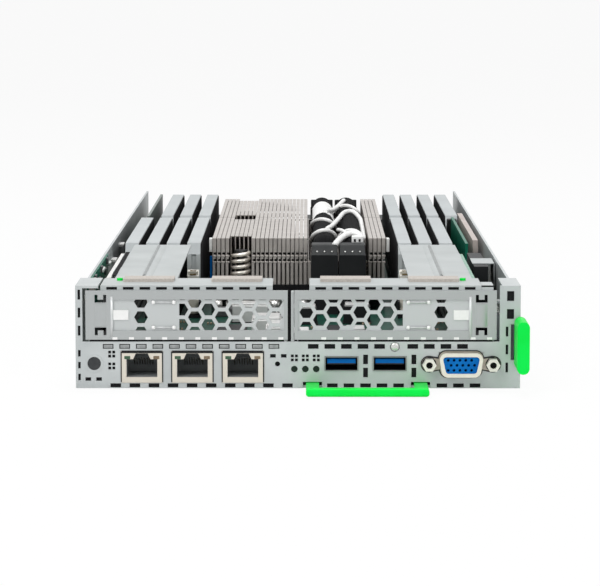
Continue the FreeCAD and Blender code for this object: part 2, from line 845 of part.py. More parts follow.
def make_slot_cover(label, centre, sign):
    """Blank cover of one card bay, vented with hexagons; the left one is the right one turned over."""
    low = "cover_z - cover_height / 2"
    plate = box(f"{centre} - cover_width / 2", FRONT, low, "cover_width", "cover_sheet", "cover_height")
    recess_width = "recess_inner + recess_outer"
    recess_x = span(sign, centre, "-recess_inner", recess_width)
    pan = box(f"{recess_x} - cover_sheet", FRONT, f"{RECESS_LOW} - cover_sheet",
              f"{recess_width} + 2 * cover_sheet", "recess_depth + cover_sheet",
              "recess_height + 2 * cover_sheet")
    tongue_drop = f"{low} - sill_top + cover_tongue"
    tongue = box(f"{centre} - cover_width / 2 + bay_gap", f"{FRONT} + sheet", "sill_top - cover_tongue",
                 "cover_width - 2 * bay_gap", "cover_sheet", f"{tongue_drop} + cover_sheet")
    joggle = box(f"{centre} - cover_width / 2 + bay_gap", FRONT, low,
                 "cover_width - 2 * bay_gap", "sheet + cover_sheet", "cover_sheet")
    recess = box(recess_x, FRONT, RECESS_LOW, recess_width, "recess_depth", "recess_height")
    hexes = []
    rise = f"{sign} * hex_rise"
    column_count = int((dims.hex_field_end - dims.hex_first) / dims.hex_column) + 1
    columns = [(f"hex_first + {n} * hex_column", n % 2) for n in range(column_count)]
    columns.append(("hex_single", 0))
    for offset, odd in columns:
        for line in (-1, 0, 1):
            height = f"cover_z + {rise} + ({line} + {odd} / 2) * hex_pitch"
            hexes.append(hexagon(f"{centre} + {sign} * ({offset})", FRONT, height, "hex_flats",
                                 "recess_depth + cover_sheet"))
    field = box(span(sign, centre, "-recess_inner", "recess_inner + hex_field_end"), FRONT, RECESS_LOW,
                "recess_inner + hex_field_end", "recess_depth + cover_sheet", "recess_height")
    single = box(span(sign, centre, "hex_single - hex_flats", "2 * hex_flats"), FRONT, RECESS_LOW,
                 "2 * hex_flats", "recess_depth + cover_sheet", "recess_height")
    vents = common(fuse(*hexes), fuse(field, single))
    cuts = [recess]
    for half in (-1, 1):
        bar_z = span(half, "cover_z", "catch_rise", "catch_leg")
        cuts.append(box(span(sign, centre, "leaf_start", "leaf_width"), FRONT, bar_z,
                        "leaf_width", "cover_sheet", "catch_leg"))
        for start in ("leaf_start", "leaf_start + leaf_width - catch_leg"):
            cuts.append(box(span(sign, centre, start, "catch_leg"), FRONT,
                            span(half, "cover_z", "catch_rise + catch_leg", "catch_height - catch_leg"),
                            "catch_leg", "cover_sheet", "catch_height - catch_leg"))
    cover = cut(cut(fuse(plate, pan, tongue, joggle), *cuts), vents)
    bulge = common(rod(span(sign, centre, "leaf_start + leaf_width / 2", "0"),
                       f"{FRONT} + leaf_width - leaf_bulge", "cover_z - leaf_height / 2",
                       "leaf_width", "leaf_height"),
                   box(f"{centre} - cover_width / 2", f"{FRONT} - leaf_bulge", low,
                       "cover_width", "leaf_bulge + cover_sheet / 2", "cover_height"))
    lances = []
    for half in (-1, 1):
        lances.append(box(span(sign, centre, "lance_start", "lance_width"),
                          f"{FRONT} + recess_depth - lance_proud",
                          span(half, "cover_z", "recess_height / 2 - lance_height", "lance_height"),
                          "lance_width", "lance_proud + cover_sheet / 2", "lance_height"))
    finish(fuse(cover, bulge, *lances), label)


def make_slot_tabs():
    tabs = []
    for centre, sign in (("left_bay_x", -1), ("right_bay_x", 1)):
        tabs.append(box(span(sign, centre, "recess_outer - tab_width", "tab_width"),
                        f"{FRONT} + tab_slot / 2", "cover_z - tab_height / 2",
                        "tab_width", "recess_depth - tab_slot / 2", "tab_height"))
    finish(group(*tabs), "slot_tabs")


def make_riser_cage(label, centre, plate_x, riser_x, sign):
    """Top strip and lip behind the cover, with a beaded plate that carries the riser card."""
    flange_low = "node_height - cage_sheet"
    behind = f"{FRONT} + cover_sheet"
    depth = "panel_flange - cover_sheet"
    strip = box(f"{centre} - cage_width / 2", behind, flange_low, "cage_width", depth, "cage_sheet")
    lip = box(f"{centre} - cage_width / 2", behind, "node_height - cage_lip",
              "cage_width", "cage_sheet", "cage_lip")
    plate_low = "(plate_top - cage_sheet)"
    plate_start = f"{FRONT} + panel_flange - cage_sheet"
    plate_left = f"{plate_x} - plate_width / 2"
    step = box(plate_left, plate_start, plate_low, "plate_width", "cage_sheet",
               f"node_height - {plate_low}")
    run = "plate_end - panel_flange + cage_sheet"
    plate = box(plate_left, plate_start, plate_low, "plate_width", run, "cage_sheet")
    bead_start = f"{plate_start} + bead_margin"
    bead_run = f"{run} - 2 * bead_margin"
    bead = common(rod(plate_x, bead_start, "plate_top + bead_rise - bead_radius", "bead_radius",
                      bead_run, INWARD),
                  box(plate_left, bead_start, plate_low, "plate_width", bead_run,
                      "2 * cage_sheet + bead_rise"))
    card_face = f"{riser_x} - ({sign}) * riser_thickness / 2"
    hangers = []
    for setback in ("front_hanger", "rear_hanger"):
        reach = f"({card_face} - ({plate_x})) * {sign}"
        hangers.append(box(span(sign, plate_x, "0", reach), f"{FRONT} + {setback}", plate_low, reach,
                           "hanger_length", "cage_sheet"))
        hangers.append(box(span(sign, card_face, "-cage_sheet", "cage_sheet"), f"{FRONT} + {setback}",
                           "plate_top - hanger_drop", "cage_sheet", "hanger_length", "hanger_drop"))
    whole = fuse(strip, lip, step, plate, bead, *hangers)
    slot_count = fit_count("cage_slot_first", "slot_pitch", "cage_slot_end")
    slot_low = f"{flange_low} - cage_slot_height"
    slots = [box(f"{centre} + cage_slot_first + {n} * slot_pitch", behind, slot_low,
                 "slot_width", "cage_sheet", "cage_slot_height") for n in range(slot_count)]
    finish(cut(whole, *slots), label)


def make_cage_trim():
    gaskets = []
    pins = []
    for centre, sign in (("left_bay_x", -1), ("right_bay_x", 1)):
        for offset in ("outer_gasket", "inner_gasket"):
            gaskets.append(box(f"{centre} + {sign} * {offset} - gasket_length / 2",
                               f"{FRONT} + gasket_setback", "node_height",
                               "gasket_length", "gasket_width", "gasket_height"))
        pins.append(rod(f"{centre} + {sign} * pin_offset", f"{FRONT} + gasket_setback + gasket_width / 2",
                        "node_height", "pin_radius", "pin_height"))
    finish(group(*gaskets), "cage_gaskets")
    finish(group(*pins), "cage_touch_pins")


def make_risers():
    cards = []
    connectors = []
    start = f"{FRONT} + riser_start"
    for riser_x, sign in (("left_riser_x", -1), ("right_riser_x", 1)):
        groove_low = f"({BOARD_TOP} + riser_slot_height - riser_bite)"
        cards.append(box(f"{riser_x} - riser_thickness / 2", start, f"{groove_low} + riser_clearance",
                         "riser_thickness", "riser_length", f"riser_top - {groove_low} - riser_clearance"))
        seat = box(f"{riser_x} - riser_slot_width / 2", f"{start} - riser_clearance - riser_thickness",
                   BOARD_TOP, "riser_slot_width", "riser_length + 2 * (riser_clearance + riser_thickness)",
                   "riser_slot_height")
        groove = box(f"{riser_x} - riser_thickness / 2 - riser_clearance", f"{start} - riser_clearance",
                     groove_low, "riser_thickness + 2 * riser_clearance",
                     "riser_length + 2 * riser_clearance", "riser_bite")
        connectors.append(cut(seat, groove))
        face = f"{riser_x} - ({sign}) * riser_thickness / 2"
        slot = box(span(-sign, face, "0", "card_slot_reach"), f"{start} + card_slot_margin", "card_slot_low",
                   "card_slot_reach", "riser_length - 2 * card_slot_margin", "card_slot_height")
        mouth = box(span(-sign, face, "card_slot_back", "card_slot_reach"),
                    f"{start} + 2 * card_slot_margin",
                    "card_slot_low + card_slot_height / 2 - card_slot_groove / 2", "card_slot_reach",
                    "riser_length - 4 * card_slot_margin", "card_slot_groove")
        connectors.append(cut(slot, mouth))
    finish(group(*cards), "riser_cards")
    finish(group(*connectors), "riser_connectors")


def make_mainboard():
    body = new_body("board_body")
    half = f"({INNER} - board_side_gap)"
    start = f"{FRONT} + sheet + board_front_gap"
    pad(body, "XY_Plane", BOARD_LOW, "board_thickness",
        rectangle(f"-{half}", start, f"2 * {half}", "node_depth - sheet - board_front_gap - board_rear_gap"))
    notch = pocket(body, "XY_Plane", BOARD_LOW, "board_thickness",
                   rectangle("lan_first_x - lan_width / 2 - shield_wall - fit_gap", start,
                             "lan_width + 2 * (shield_wall + fit_gap)",
                             "lan_depth - lan_proud - sheet - board_front_gap + shield_wall + fit_gap"))
    repeat(body, notch, "X_Axis", "lan_pitch", LAN_PORTS)
    pocket(body, "XY_Plane", BOARD_LOW, "board_thickness",
           *[(x, y, "screw_radius + screw_clearance") for x, y in standoff_places()])
    finish(body, "mainboard")
    screws = []
    for x, y in standoff_places():
        screws.append(fuse(rod(x, y, "sheet", "screw_radius", "standoff_height + board_thickness"),
                           rod(x, y, BOARD_TOP, "screw_head_radius", "screw_head_height")))
    finish(group(*screws), "board_screws")


def make_lan_ports():
    jacks = new_body("jack_body")
    shields = new_body("shield_body")
    for n in range(LAN_PORTS):
        middle = f"lan_first_x + {n} * lan_pitch"
        left = f"{middle} - lan_width / 2"
        pad(jacks, "XZ_Plane", f"{FRONT} - lan_proud", "lan_depth",
            rectangle(left, "lan_low", "lan_width", "lan_height"))
        port_low = "lan_low + lan_port_low"
        port_top = f"{port_low} + lan_port_height"
        key_top = f"{port_top} + lan_key_height"
        pocket(jacks, "XZ_Plane", f"{FRONT} - lan_proud", "lan_port_depth",
               [(f"{middle} - lan_port_width / 2", port_low), (f"{middle} + lan_port_width / 2", port_low),
                (f"{middle} + lan_port_width / 2", port_top), (f"{middle} + lan_key_width / 2", port_top),
                (f"{middle} + lan_key_width / 2", key_top), (f"{middle} - lan_key_width / 2", key_top),
                (f"{middle} - lan_key_width / 2", port_top), (f"{middle} - lan_port_width / 2", port_top)])
        sleeve = f"{FRONT} + shield_setback"
        run = "lan_depth - lan_proud - shield_setback"
        pad(shields, "XZ_Plane", sleeve, run,
            rectangle(f"{left} - shield_wall", "lan_low - shield_wall",
                      "lan_width + 2 * shield_wall", "lan_height + 2 * shield_wall"),
            rectangle(left, "lan_low", "lan_width", "lan_height"))
        pad(shields, "XZ_Plane", f"{sleeve} + {run}", "shield_wall",
            rectangle(f"{left} - shield_wall", "lan_low - shield_wall",
                      "lan_width + 2 * shield_wall", "lan_height + 2 * shield_wall"))
    finish(jacks, "lan_jacks")
    finish(shields, "lan_shields")


def make_usb_ports():
    shells = []
    tongues = []
    for n in range(USB_PORTS):
        middle = f"usb_first_x + {n} * usb_pitch"
        left = f"{middle} - usb_width / 2"
        start = f"{FRONT} - usb_proud"
        outer = box(left, start, "usb_low", "usb_width", "usb_depth", "usb_height")
        foot = box(left, f"{FRONT} + sheet + board_front_gap", BOARD_TOP, "usb_width",
                   "usb_depth - usb_proud - sheet - board_front_gap", f"usb_low - {BOARD_TOP}")
        inner = box(f"{left} + usb_wall", start, "usb_low + usb_wall", "usb_width - 2 * usb_wall",
                    "usb_depth - usb_wall", "usb_height - 2 * usb_wall")
        shells.append(cut(fuse(outer, foot), inner))
        tongue_top = "usb_low + usb_height - usb_wall - tongue_drop"
        tongues.append(box(f"{middle} - tongue_width / 2", f"{start} + tongue_setback",
                           f"{tongue_top} - tongue_height", "tongue_width",
                           "usb_depth - usb_wall - tongue_setback", "tongue_height"))
    finish(group(*shells), "usb_shells")
    finish(group(*tongues), "usb_tongues")


def make_video_port():
    flange_y = f"{FRONT} + sheet"
    flange = rectangle("video_x - video_flange_width / 2", "video_z - video_flange_height / 2",
                       "video_flange_width", "video_flange_height")
    shell = new_body("video_shell_body")
    block = pad(shell, "XZ_Plane", f"{FRONT} - video_proud", "video_proud + sheet", shell_outline("0"))
    round_edges(shell, block, "video_corner", ALONG_Y)
    pad(shell, "XZ_Plane", flange_y, "video_flange_sheet", flange)
    hollow = new_body("video_hollow_body")
    block = pad(hollow, "XZ_Plane", f"{FRONT} - video_proud", "video_proud + sheet + video_flange_sheet",
                shell_outline("-video_wall"))
    round_edges(hollow, block, "video_corner - video_wall", ALONG_Y)
    finish(cut(shell, hollow), "video_shell")
    insert = new_body("video_insert_body")
    face = f"{FRONT} - video_proud + video_insert_setback"
    back = f"{flange_y} + video_flange_sheet"
    block = pad(insert, "XZ_Plane", face, "video_proud - video_insert_setback + sheet + video_flange_sheet",
                shell_outline("-video_wall - fit_gap / 2"))
    round_edges(insert, block, "video_corner - video_wall", ALONG_Y)
    first_contact = f"video_x - {CONTACTS_PER_ROW - 1} / 2 * contact_pitch"
    for line, stagger in ((-1, "-contact_pitch / 4"), (0, "contact_pitch / 4"), (1, "-contact_pitch / 4")):
        contact = pocket(insert, "XZ_Plane", face, "video_proud",
                         (f"{first_contact} + ({stagger})", f"video_z + {line} * contact_row_pitch",
                          "contact_radius"))
        repeat(insert, contact, "X_Axis", "contact_pitch", CONTACTS_PER_ROW)
    pad(insert, "XZ_Plane", back, "video_body_depth",
        rectangle("video_x - video_flange_width / 2", BOARD_TOP, "video_flange_width",
                  f"video_z + video_flange_height / 2 - {BOARD_TOP}"))
    finish(insert, "video_insert")
    posts = []
    for side in ("-1", "1"):
        x = f"video_x + {side} * jackscrew_spacing / 2"
        post = hexagon(x, f"{flange_y} - sheet - jackscrew_proud", "video_z", "jackscrew_flats",
                       "sheet + jackscrew_proud")
        bore = rod(x, f"{flange_y} - sheet - jackscrew_proud", "video_z", "jackscrew_bore",
                   "jackscrew_bore_depth", INWARD)
        posts.append(cut(post, bore))
    finish(group(*posts), "video_jackscrews")


def make_controls():
    button = new_body("button_body")
    rear = f"{FRONT} + sheet + fit_gap"
    switch_y = f"({FRONT} + switch_setback)"
    pad(button, "XZ_Plane", f"{FRONT} - button_proud", "button_proud + sheet + fit_gap",
        ("button_x", "button_z", "button_radius"))
    pad(button, "XZ_Plane", rear, "button_rim_depth", ("button_x", "button_z", "button_radius + button_rim"))
    pad(button, "XZ_Plane", f"{rear} + button_rim_depth",
        "switch_setback + plunger_grip - sheet - fit_gap - button_rim_depth",
        ("button_x", "button_z", "stem_radius"))
    finish(button, "power_button")
    reset = new_body("reset_body")
    pad(reset, "XZ_Plane", f"{FRONT} + reset_setback", "switch_setback + plunger_grip - reset_setback",
        ("reset_x", "reset_z", "reset_radius"))
    finish(reset, "reset_button")
    switches = new_body("switch_body")
    moves = (("button_x", "button_z", "stem_radius", "button_travel"),
             ("reset_x", "reset_z", "reset_radius", "reset_travel"))
    for x, z, radius, travel in moves:
        pad(switches, "XZ_Plane", switch_y, "switch_depth",
            rectangle(f"{x} - switch_width / 2", BOARD_TOP, "switch_width",
                      f"{z} + switch_rise - {BOARD_TOP}"))
        pocket(switches, "XZ_Plane", switch_y, f"plunger_grip + {travel} + fit_gap",
               (x, z, f"{radius} + slide_clearance"))
    finish(switches, "panel_switches")
    pipe = new_body("light_body")
    block_y = f"{FRONT} + light_setback"
    pad(pipe, "XZ_Plane", block_y, "2 * light_setback",
        rectangle("light_start", BOARD_TOP, "light_width", f"light_z + 2 * light_radius - {BOARD_TOP}"))
    light = pad(pipe, "XZ_Plane", FRONT, "light_setback", ("light_x", "light_z", "light_radius"))
    repeat(pipe, light, "X_Axis", "light_pitch", STATUS_LIGHTS)
    finish(pipe, "status_light_pipe")


def sink_start(number):
    return f"({FRONT} + sink_start + {number} * (sink_length + sink_gap))"


# fins cut short for the cable channel and for the screw pockets, as (first, first one kept)
FINS = int((dims.sink_width - dims.fin_fold) / dims.fin_pitch) + 1
CUT_END = FINS - EDGE_FINS
POCKET_WIDTH = math.ceil(dims.sink_pocket_width / dims.fin_pitch)
CHANNEL_FINS = (CUT_END - math.ceil(dims.channel_width / dims.fin_pitch), CUT_END)
POCKET_FINS = ((EDGE_FINS, EDGE_FINS + POCKET_WIDTH), (CUT_END - POCKET_WIDTH, CUT_END))


def fin_gap(number):
    """Middle of the gap before a fin, counted from the left."""
    return f"(-sink_width / 2 + {number} * fin_pitch - (fin_pitch - fin_fold) / 2)"


def sink_holes(number):
    """Places of the spring screws, with the height of each one's head."""
    for (first, last), top in zip(POCKET_FINS, ("open_screw_top", "covered_screw_top")):
        for end in ("sink_hole_inset", "sink_length - sink_hole_inset"):
            yield f"({fin_gap(first)} + {fin_gap(last)}) / 2", f"{sink_start(number)} + {end}", top


def make_heat_sink(label, number):
    """Folded fins on a base, with a low channel for the cables and pockets for the spring screws."""
    body = new_body(f"sink_body_{number}")
    start = sink_start(number)
    left = "-sink_width / 2"
    pad(body, "XY_Plane", SINK_LOW, "sink_base", rectangle(left, start, "sink_width", "sink_length"))
    fold_low = "sink_top - fin_fold_sheet"
    fin = [(left, BASE_TOP), (f"{left} + fin_thickness", BASE_TOP), (f"{left} + fin_thickness", fold_low),
           (f"{left} + fin_fold", fold_low), (f"{left} + fin_fold", "sink_top"), (left, "sink_top")]
    repeat(body, pad(body, "XZ_Plane", start, "sink_length", fin), "X_Axis", "fin_pitch", FINS)
    pocket(body, "XY_Plane", "channel_floor", "sink_top - channel_floor",
           rectangle(fin_gap(CHANNEL_FINS[0]), start,
                     f"{fin_gap(CHANNEL_FINS[1])} - {fin_gap(CHANNEL_FINS[0])}", "sink_length"))
    pockets = []
    for first, last in POCKET_FINS:
        for end in ("0", "sink_length - sink_pocket_depth"):
            pockets.append(rectangle(fin_gap(first), f"{start} + {end}",
                                     f"{fin_gap(last)} - {fin_gap(first)}", "sink_pocket_depth"))
    pocket(body, "XY_Plane", BASE_TOP, f"sink_top - {BASE_TOP}", *pockets)
    pocket(body, "XY_Plane", SINK_LOW, "sink_base",
           *[(x, y, "sink_screw_radius + screw_clearance") for x, y, top in sink_holes(number)])
    finish(body, label)


def make_processors():
    packages = []
    screws = []
    springs = []
    for number in range(2):
        middle = f"({sink_start(number)} + sink_length / 2)"
        packages.append(box("-chip_socket_width / 2", f"{middle} - chip_socket_length / 2", BOARD_TOP,
                            "chip_socket_width", "chip_socket_length", "chip_socket_height"))
        packages.append(box("-chip_width / 2", f"{middle} - chip_length / 2", CHIP_LOW,
                            "chip_width", "chip_length", "chip_height"))
        for x, y, top in sink_holes(number):
            shank = rod(x, y, BOARD_TOP, "sink_screw_radius", f"{top} - {BOARD_TOP}")
            head = rod(x, y, f"{top} - sink_head_height", "sink_screw_head", "sink_head_height")
            screws.append(fuse(shank, head))
            springs.append(tube(x, y, BASE_TOP, "sink_screw_radius + screw_clearance",
                                "sink_screw_radius + screw_clearance + spring_wire",
                                f"{top} - sink_head_height - {BASE_TOP}"))
    finish(group(*packages), "processors")
    finish(group(*screws), "heat_sink_screws")
    finish(group(*springs), "heat_sink_springs")


# banks of memory sockets, as (row, side): the front row is 0, the left side is -1
BANKS = ((0, -1), (0, 1), (1, -1), (1, 1))
# the two sockets that hold a memory module instead of a blank
MODULES = ((0, 1, 3), (1, -1, 3))


def socket_x(side, place_in_bank):
    return f"{side} * (memory_first_x + {place_in_bank} * memory_pitch)"


def socket_start(row):
    return f"({FRONT} + front_memory_start + {row} * (socket_length + row_gap))"


def held_start(row):
    """Where a blank or module begins: clear of the latch, which is at the outer end of the row."""
    if row == 0:
        return f"({socket_start(0)} + socket_length - groove_end - blank_length)"
    return f"({socket_start(1)} + groove_end)"


def make_memory_sockets():
    sockets = []
    room_low = f"({BOARD_TOP} + latch_axle_rise - latch_axle_radius - latch_side_gap)"
    for row, side in BANKS:
        start = socket_start(row)
        end = "0" if row == 0 else "socket_length - latch_room"
        for n in range(MEMORY_PER_BANK):
            x = socket_x(side, n)
            block = box(f"{x} - socket_width / 2", start, BOARD_TOP,
                        "socket_width", "socket_length", "socket_height")
            groove = box(f"{x} - socket_groove / 2", f"{held_start(row)} - fit_gap", GROOVE_LOW,
                         "socket_groove", "blank_length + 2 * fit_gap", "groove_depth")
            room = box(f"{x} - latch_width / 2 - latch_side_gap", f"{start} + {end}", room_low,
                       "latch_width + 2 * latch_side_gap", "latch_room", f"{SOCKET_TOP} - {room_low}")
            sockets.append(cut(cut(block, groove), room))
    finish(group(*sockets), "memory_sockets")


def make_memory_blanks(label, row):
    """Fillers that stand in for modules: a grooved blade with bevelled upper corners and a thin edge."""
    blanks = new_body(f"blank_body_{row}")
    start = held_start(row)
    end = f"({start} + blank_length)"
    blade = [(start, SOCKET_TOP), (end, SOCKET_TOP), (end, "blank_top - blank_bevel"),
             (f"{end} - blank_bevel / 2", "blank_top"), (f"{start} + blank_bevel / 2", "blank_top"),
             (start, "blank_top - blank_bevel")]
    edge_low = f"({GROOVE_LOW} + edge_bottom_gap)"
    for side in (-1, 1):
        for n in range(MEMORY_PER_BANK):
            if (row, side, n) in MODULES:
                continue
            x = socket_x(side, n)
            pad(blanks, "YZ_Plane", f"{x} - blank_width / 2", "blank_width", blade)
            pad(blanks, "YZ_Plane", f"{x} - edge_thickness / 2", "edge_thickness",
                rectangle(start, edge_low, "blank_length", f"{SOCKET_TOP} - {edge_low}"))
            pocket(blanks, "XY_Plane", SOCKET_TOP, f"blank_top - blank_bevel - {SOCKET_TOP}",
                   *[rectangle(f"{x} - blank_groove_width / 2", face, "blank_groove_width", "blank_groove")
                     for face in (start, f"{end} - blank_groove")])
    finish(blanks, label)


def make_memory_modules():
    modules = new_body("module_body")
    edge_low = f"({GROOVE_LOW} + edge_bottom_gap)"
    chip_count = int(dims.blank_length / dims.module_chip_pitch)
    for row, side, n in MODULES:
        x = socket_x(side, n)
        start = held_start(row)
        pad(modules, "YZ_Plane", f"{x} - edge_thickness / 2", "edge_thickness",
            rectangle(start, edge_low, "blank_length", f"blank_top - {edge_low}"))
        chips = pad(modules, "YZ_Plane", f"{x} - edge_thickness / 2 - module_chip_sheet",
                    "edge_thickness + 2 * module_chip_sheet",
                    rectangle(f"{start} + module_chip_pitch - module_chip_length", "module_chip_low",
                              "module_chip_length", "module_chip_height"))
        repeat(modules, chips, "Y_Axis", "module_chip_pitch", chip_count)
    finish(modules, "memory_modules")


def make_memory_latches():
    """One ejector latch per socket, turning on an axle across the socket's outer end."""
    for row, side in BANKS:
        out = -1 if row == 0 else 1
        end = socket_start(row) if row == 0 else f"({socket_start(row)} + socket_length)"
        axle_y = f"({end} - ({out}) * latch_axle_inset)"
        axle_z = f"({BOARD_TOP} + latch_axle_rise)"

        def at(outward, height):
            return (f"{axle_y} + {out} * ({outward})", height)

        half = "latch_arm / 2"
        hook_low = "latch_top - latch_hook_drop"
        profile = [at(f"-{half}", axle_z), at(half, axle_z), at(half, "latch_top - latch_arm"),
                   at(f"{half} + latch_thumb", "latch_top - latch_arm / 2"),
                   at(f"{half} + latch_thumb", "latch_top"),
                   at(f"-{half}", "latch_top"), at(f"-{half}", f"{hook_low} + latch_hook"),
                   at(f"-{half} - latch_hook", hook_low), at(f"-{half}", f"{hook_low} - latch_hook")]
        for n in range(MEMORY_PER_BANK):
            name = f"latch_{'front' if row == 0 else 'rear'}_{'left' if side < 0 else 'right'}_{n + 1}"
            latch = new_body(f"{name}_body")
            x = f"{socket_x(side, n)} - latch_width / 2"
            pad(latch, "YZ_Plane", x, "latch_width", profile)
            pad(latch, "YZ_Plane", x, "latch_width", (axle_y, axle_z, "latch_axle_radius"))
            finish(latch, name)


def cable_x(number):
    """The two cables lie side by side in the middle of the channel."""
    left, right = CHANNEL_FINS
    return f"(({fin_gap(left)} + {fin_gap(right)}) / 2 + ({number} - 0.5) * cable_spacing)"


def make_cables():
    plugs = new_body("plug_body")
    front_y = f"({sink_start(0)} - plug_gap)"
    rear_y = f"({sink_start(1)} + sink_length + plug_gap)"
    for n in range(2):
        x = f"{cable_x(n)} - plug_width / 2"
        for face, out in ((front_y, -1), (rear_y, 1)):
            pad(plugs, "YZ_Plane", x, "plug_width",
                [(face, BOARD_TOP), (f"{face} + {out} * plug_depth", BOARD_TOP),
                 (f"{face} + {out} * plug_depth", PLUG_TOP), (f"{face} + {out} * plug_bevel", PLUG_TOP),
                 (face, f"{PLUG_TOP} - plug_bevel")])
    finish(plugs, "cable_plugs")
    ties = []
    for n in range(2):
        x = cable_x(n)
        for turn in range(4):
            y = f"{sink_start(0)} + first_tie + ({turn} + {n} / 3) * tie_pitch"
            ties.append(tube(x, y, CABLE_Z, "cable_radius + tie_clearance",
                             "cable_radius + tie_clearance + tie_sheet", "tie_width", INWARD))
    finish(group(*ties), "cable_ties")
    finish(group(*[cable_run(n, front_y, rear_y) for n in range(2)]), "cable_bundles")


def cable_bend(x, y, z, start_angle):
    """An eighth of a ring in an upright plane that runs into the node."""
    ring = doc.addObject("Part::Torus", "bend")
    turn = FreeCAD.Rotation(FreeCAD.Vector(1, 0, 0), start_angle)
    ring.Placement = FreeCAD.Placement(FreeCAD.Vector(), turn * FreeCAD.Rotation(0.5, 0.5, 0.5, 0.5))
    ring.Angle3 = 45
    ring.setExpression("Radius1", tie("cable_bend"))
    ring.setExpression("Radius2", tie("cable_radius"))
    return place(ring, x, y, z)


def cable_run(number, front_y, rear_y):
    """A bundle that leaves one plug at a 45 degree slant, lies in the channel and dips to the other plug."""
    x = cable_x(number)
    runs = []
    ends = []
    for face, out, slant, start_angle in ((front_y, -1, -45, 90), (rear_y, 1, 45, 45)):
        exit_y = f"({face} + {out} * plug_bevel / 2)"
        level_y = f"({exit_y} - {out} * ({EXIT_RISE} + {HALF_BEND}))"
        ends.append(level_y)
        runs.append(rod(x, exit_y, EXIT_Z, "cable_radius", "exit_run",
                        FreeCAD.Rotation(FreeCAD.Vector(1, 0, 0), slant)))
        runs.append(cable_bend(x, level_y, f"{CABLE_Z} - cable_bend", start_angle))
    runs.append(rod(x, ends[0], CABLE_Z, "cable_radius", f"{ends[1]} - {ends[0]}", INWARD))
    return fuse(*runs)


def make_handle():
    body = new_body("handle_body")
    left = "handle_x - handle_width / 2"
    right = "handle_x + handle_width / 2"
    tip = f"{FRONT} - handle_reach"
    rear = f"{FRONT} + handle_inside"
    pad(body, "XY_Plane", "sheet", "handle_strip",
        [(left, f"{tip} + grip_round"), (right, f"{tip} + grip_round"), (right, rear),
         (f"{right} - handle_leg", rear),
         (f"{right} - handle_leg", f"{tip} + grip_depth"), (f"{left} + handle_leg", f"{tip} + grip_depth"),
         (f"{left} + handle_leg", rear), (left, rear)])
    rivets = pad(body, "XY_Plane", "sheet + handle_strip", "rivet_height",
                 (f"{left} + handle_leg / 2", f"{rear} - handle_leg / 2", "rivet_radius"))
    repeat(body, rivets, "X_Axis", "handle_width - handle_leg", 2)
    grip = new_body("grip_body")
    block = pad(grip, "XY_Plane", "fit_gap", "grip_height",
                rectangle(left, tip, "handle_width", "grip_depth"))
    round_edges(grip, block, "grip_round", ALONG_X, ALONG_Y)
    finish(fuse(body, grip), "pull_handle")


def make_latch():
    lever = new_body("lever_body")
    tip = f"{FRONT} - cap_gap - lever_reach"
    pad(lever, "YZ_Plane", LEVER_X, "lever_thickness",
        rectangle(tip, LEVER_LOW, "cap_gap + lever_reach + pivot_setback", "lever_height"))
    hook_y = f"{FRONT} + hook_start"
    pad(lever, "XY_Plane", "lever_z - hook_height / 2", "hook_height",
        [(f"{LEVER_X} + lever_thickness / 2", hook_y), (f"{LEVER_X} + lever_thickness + hook_proud", hook_y),
         (f"{LEVER_X} + lever_thickness", f"{hook_y} + hook_length"),
         (f"{LEVER_X} + lever_thickness / 2", f"{hook_y} + hook_length")])
    wrap = "pivot_radius + knuckle_wall"
    knuckle = (PIVOT_X, PIVOT_Y, wrap)
    pad(lever, "XY_Plane", LEVER_LOW, "knuckle_height", knuckle)
    pad(lever, "XY_Plane", LEVER_LOW, "knuckle_height",
        rectangle(PIVOT_X, f"{PIVOT_Y} - ({wrap})", f"{LEVER_X} + lever_thickness / 2 - {PIVOT_X}", wrap))
    pocket(lever, "XY_Plane", LEVER_LOW, "knuckle_height",
           (PIVOT_X, PIVOT_Y, "pivot_radius + pivot_clearance"))
    finish(lever, "latch_lever")
    cap = new_body("cap_body")
    outer = "node_width / 2 + cap_overhang"
    block = pad(cap, "XZ_Plane", f"{FRONT} - cap_gap - cap_length", "cap_length",
                rectangle(f"{outer} - cap_width", "lever_z - cap_height / 2", "cap_width", "cap_height"))
    round_edges(cap, block, "cap_round", ALONG_Y)
    pocket(cap, "XZ_Plane", tip, "lever_reach",
           rectangle(LEVER_X, LEVER_LOW, "lever_thickness", "lever_height"))
    finish(cap, "latch_cap")
    pin = rod(PIVOT_X, PIVOT_Y, EAR_LOW, "pivot_radius", "lever_height + 2 * lever_gap + 2 * sheet")
    finish(pin, "latch_pin")
    coil_low = f"{LEVER_LOW} + knuckle_height + lever_gap"
    coil = tube(PIVOT_X, PIVOT_Y, coil_low, "pivot_radius + pivot_clearance",
                "pivot_radius + pivot_clearance + coil_wire", f"{EAR_TOP} - ({coil_low})")
    finish(coil, "latch_spring")


def make_air_guides():
    baffle = box(f"{INNER} - baffle_gap - baffle_sheet", f"{FRONT} + baffle_start", BOARD_TOP,
                 "baffle_sheet", "baffle_length", f"baffle_top - {BOARD_TOP}")
    finish(baffle, "side_baffle")
    blocks = []
    for sign, side in ((-1, "left"), (1, "right")):
        width = f"{side}_block_width"
        inset = f"{INNER} - {side}_block_gap - {width}"
        blocks.append(box(span(sign, "0", inset, width), f"{FRONT} + block_start", BOARD_TOP,
                          width, "block_length", f"{side}_block_top - {BOARD_TOP}"))
    finish(group(*blocks), "air_blocks")


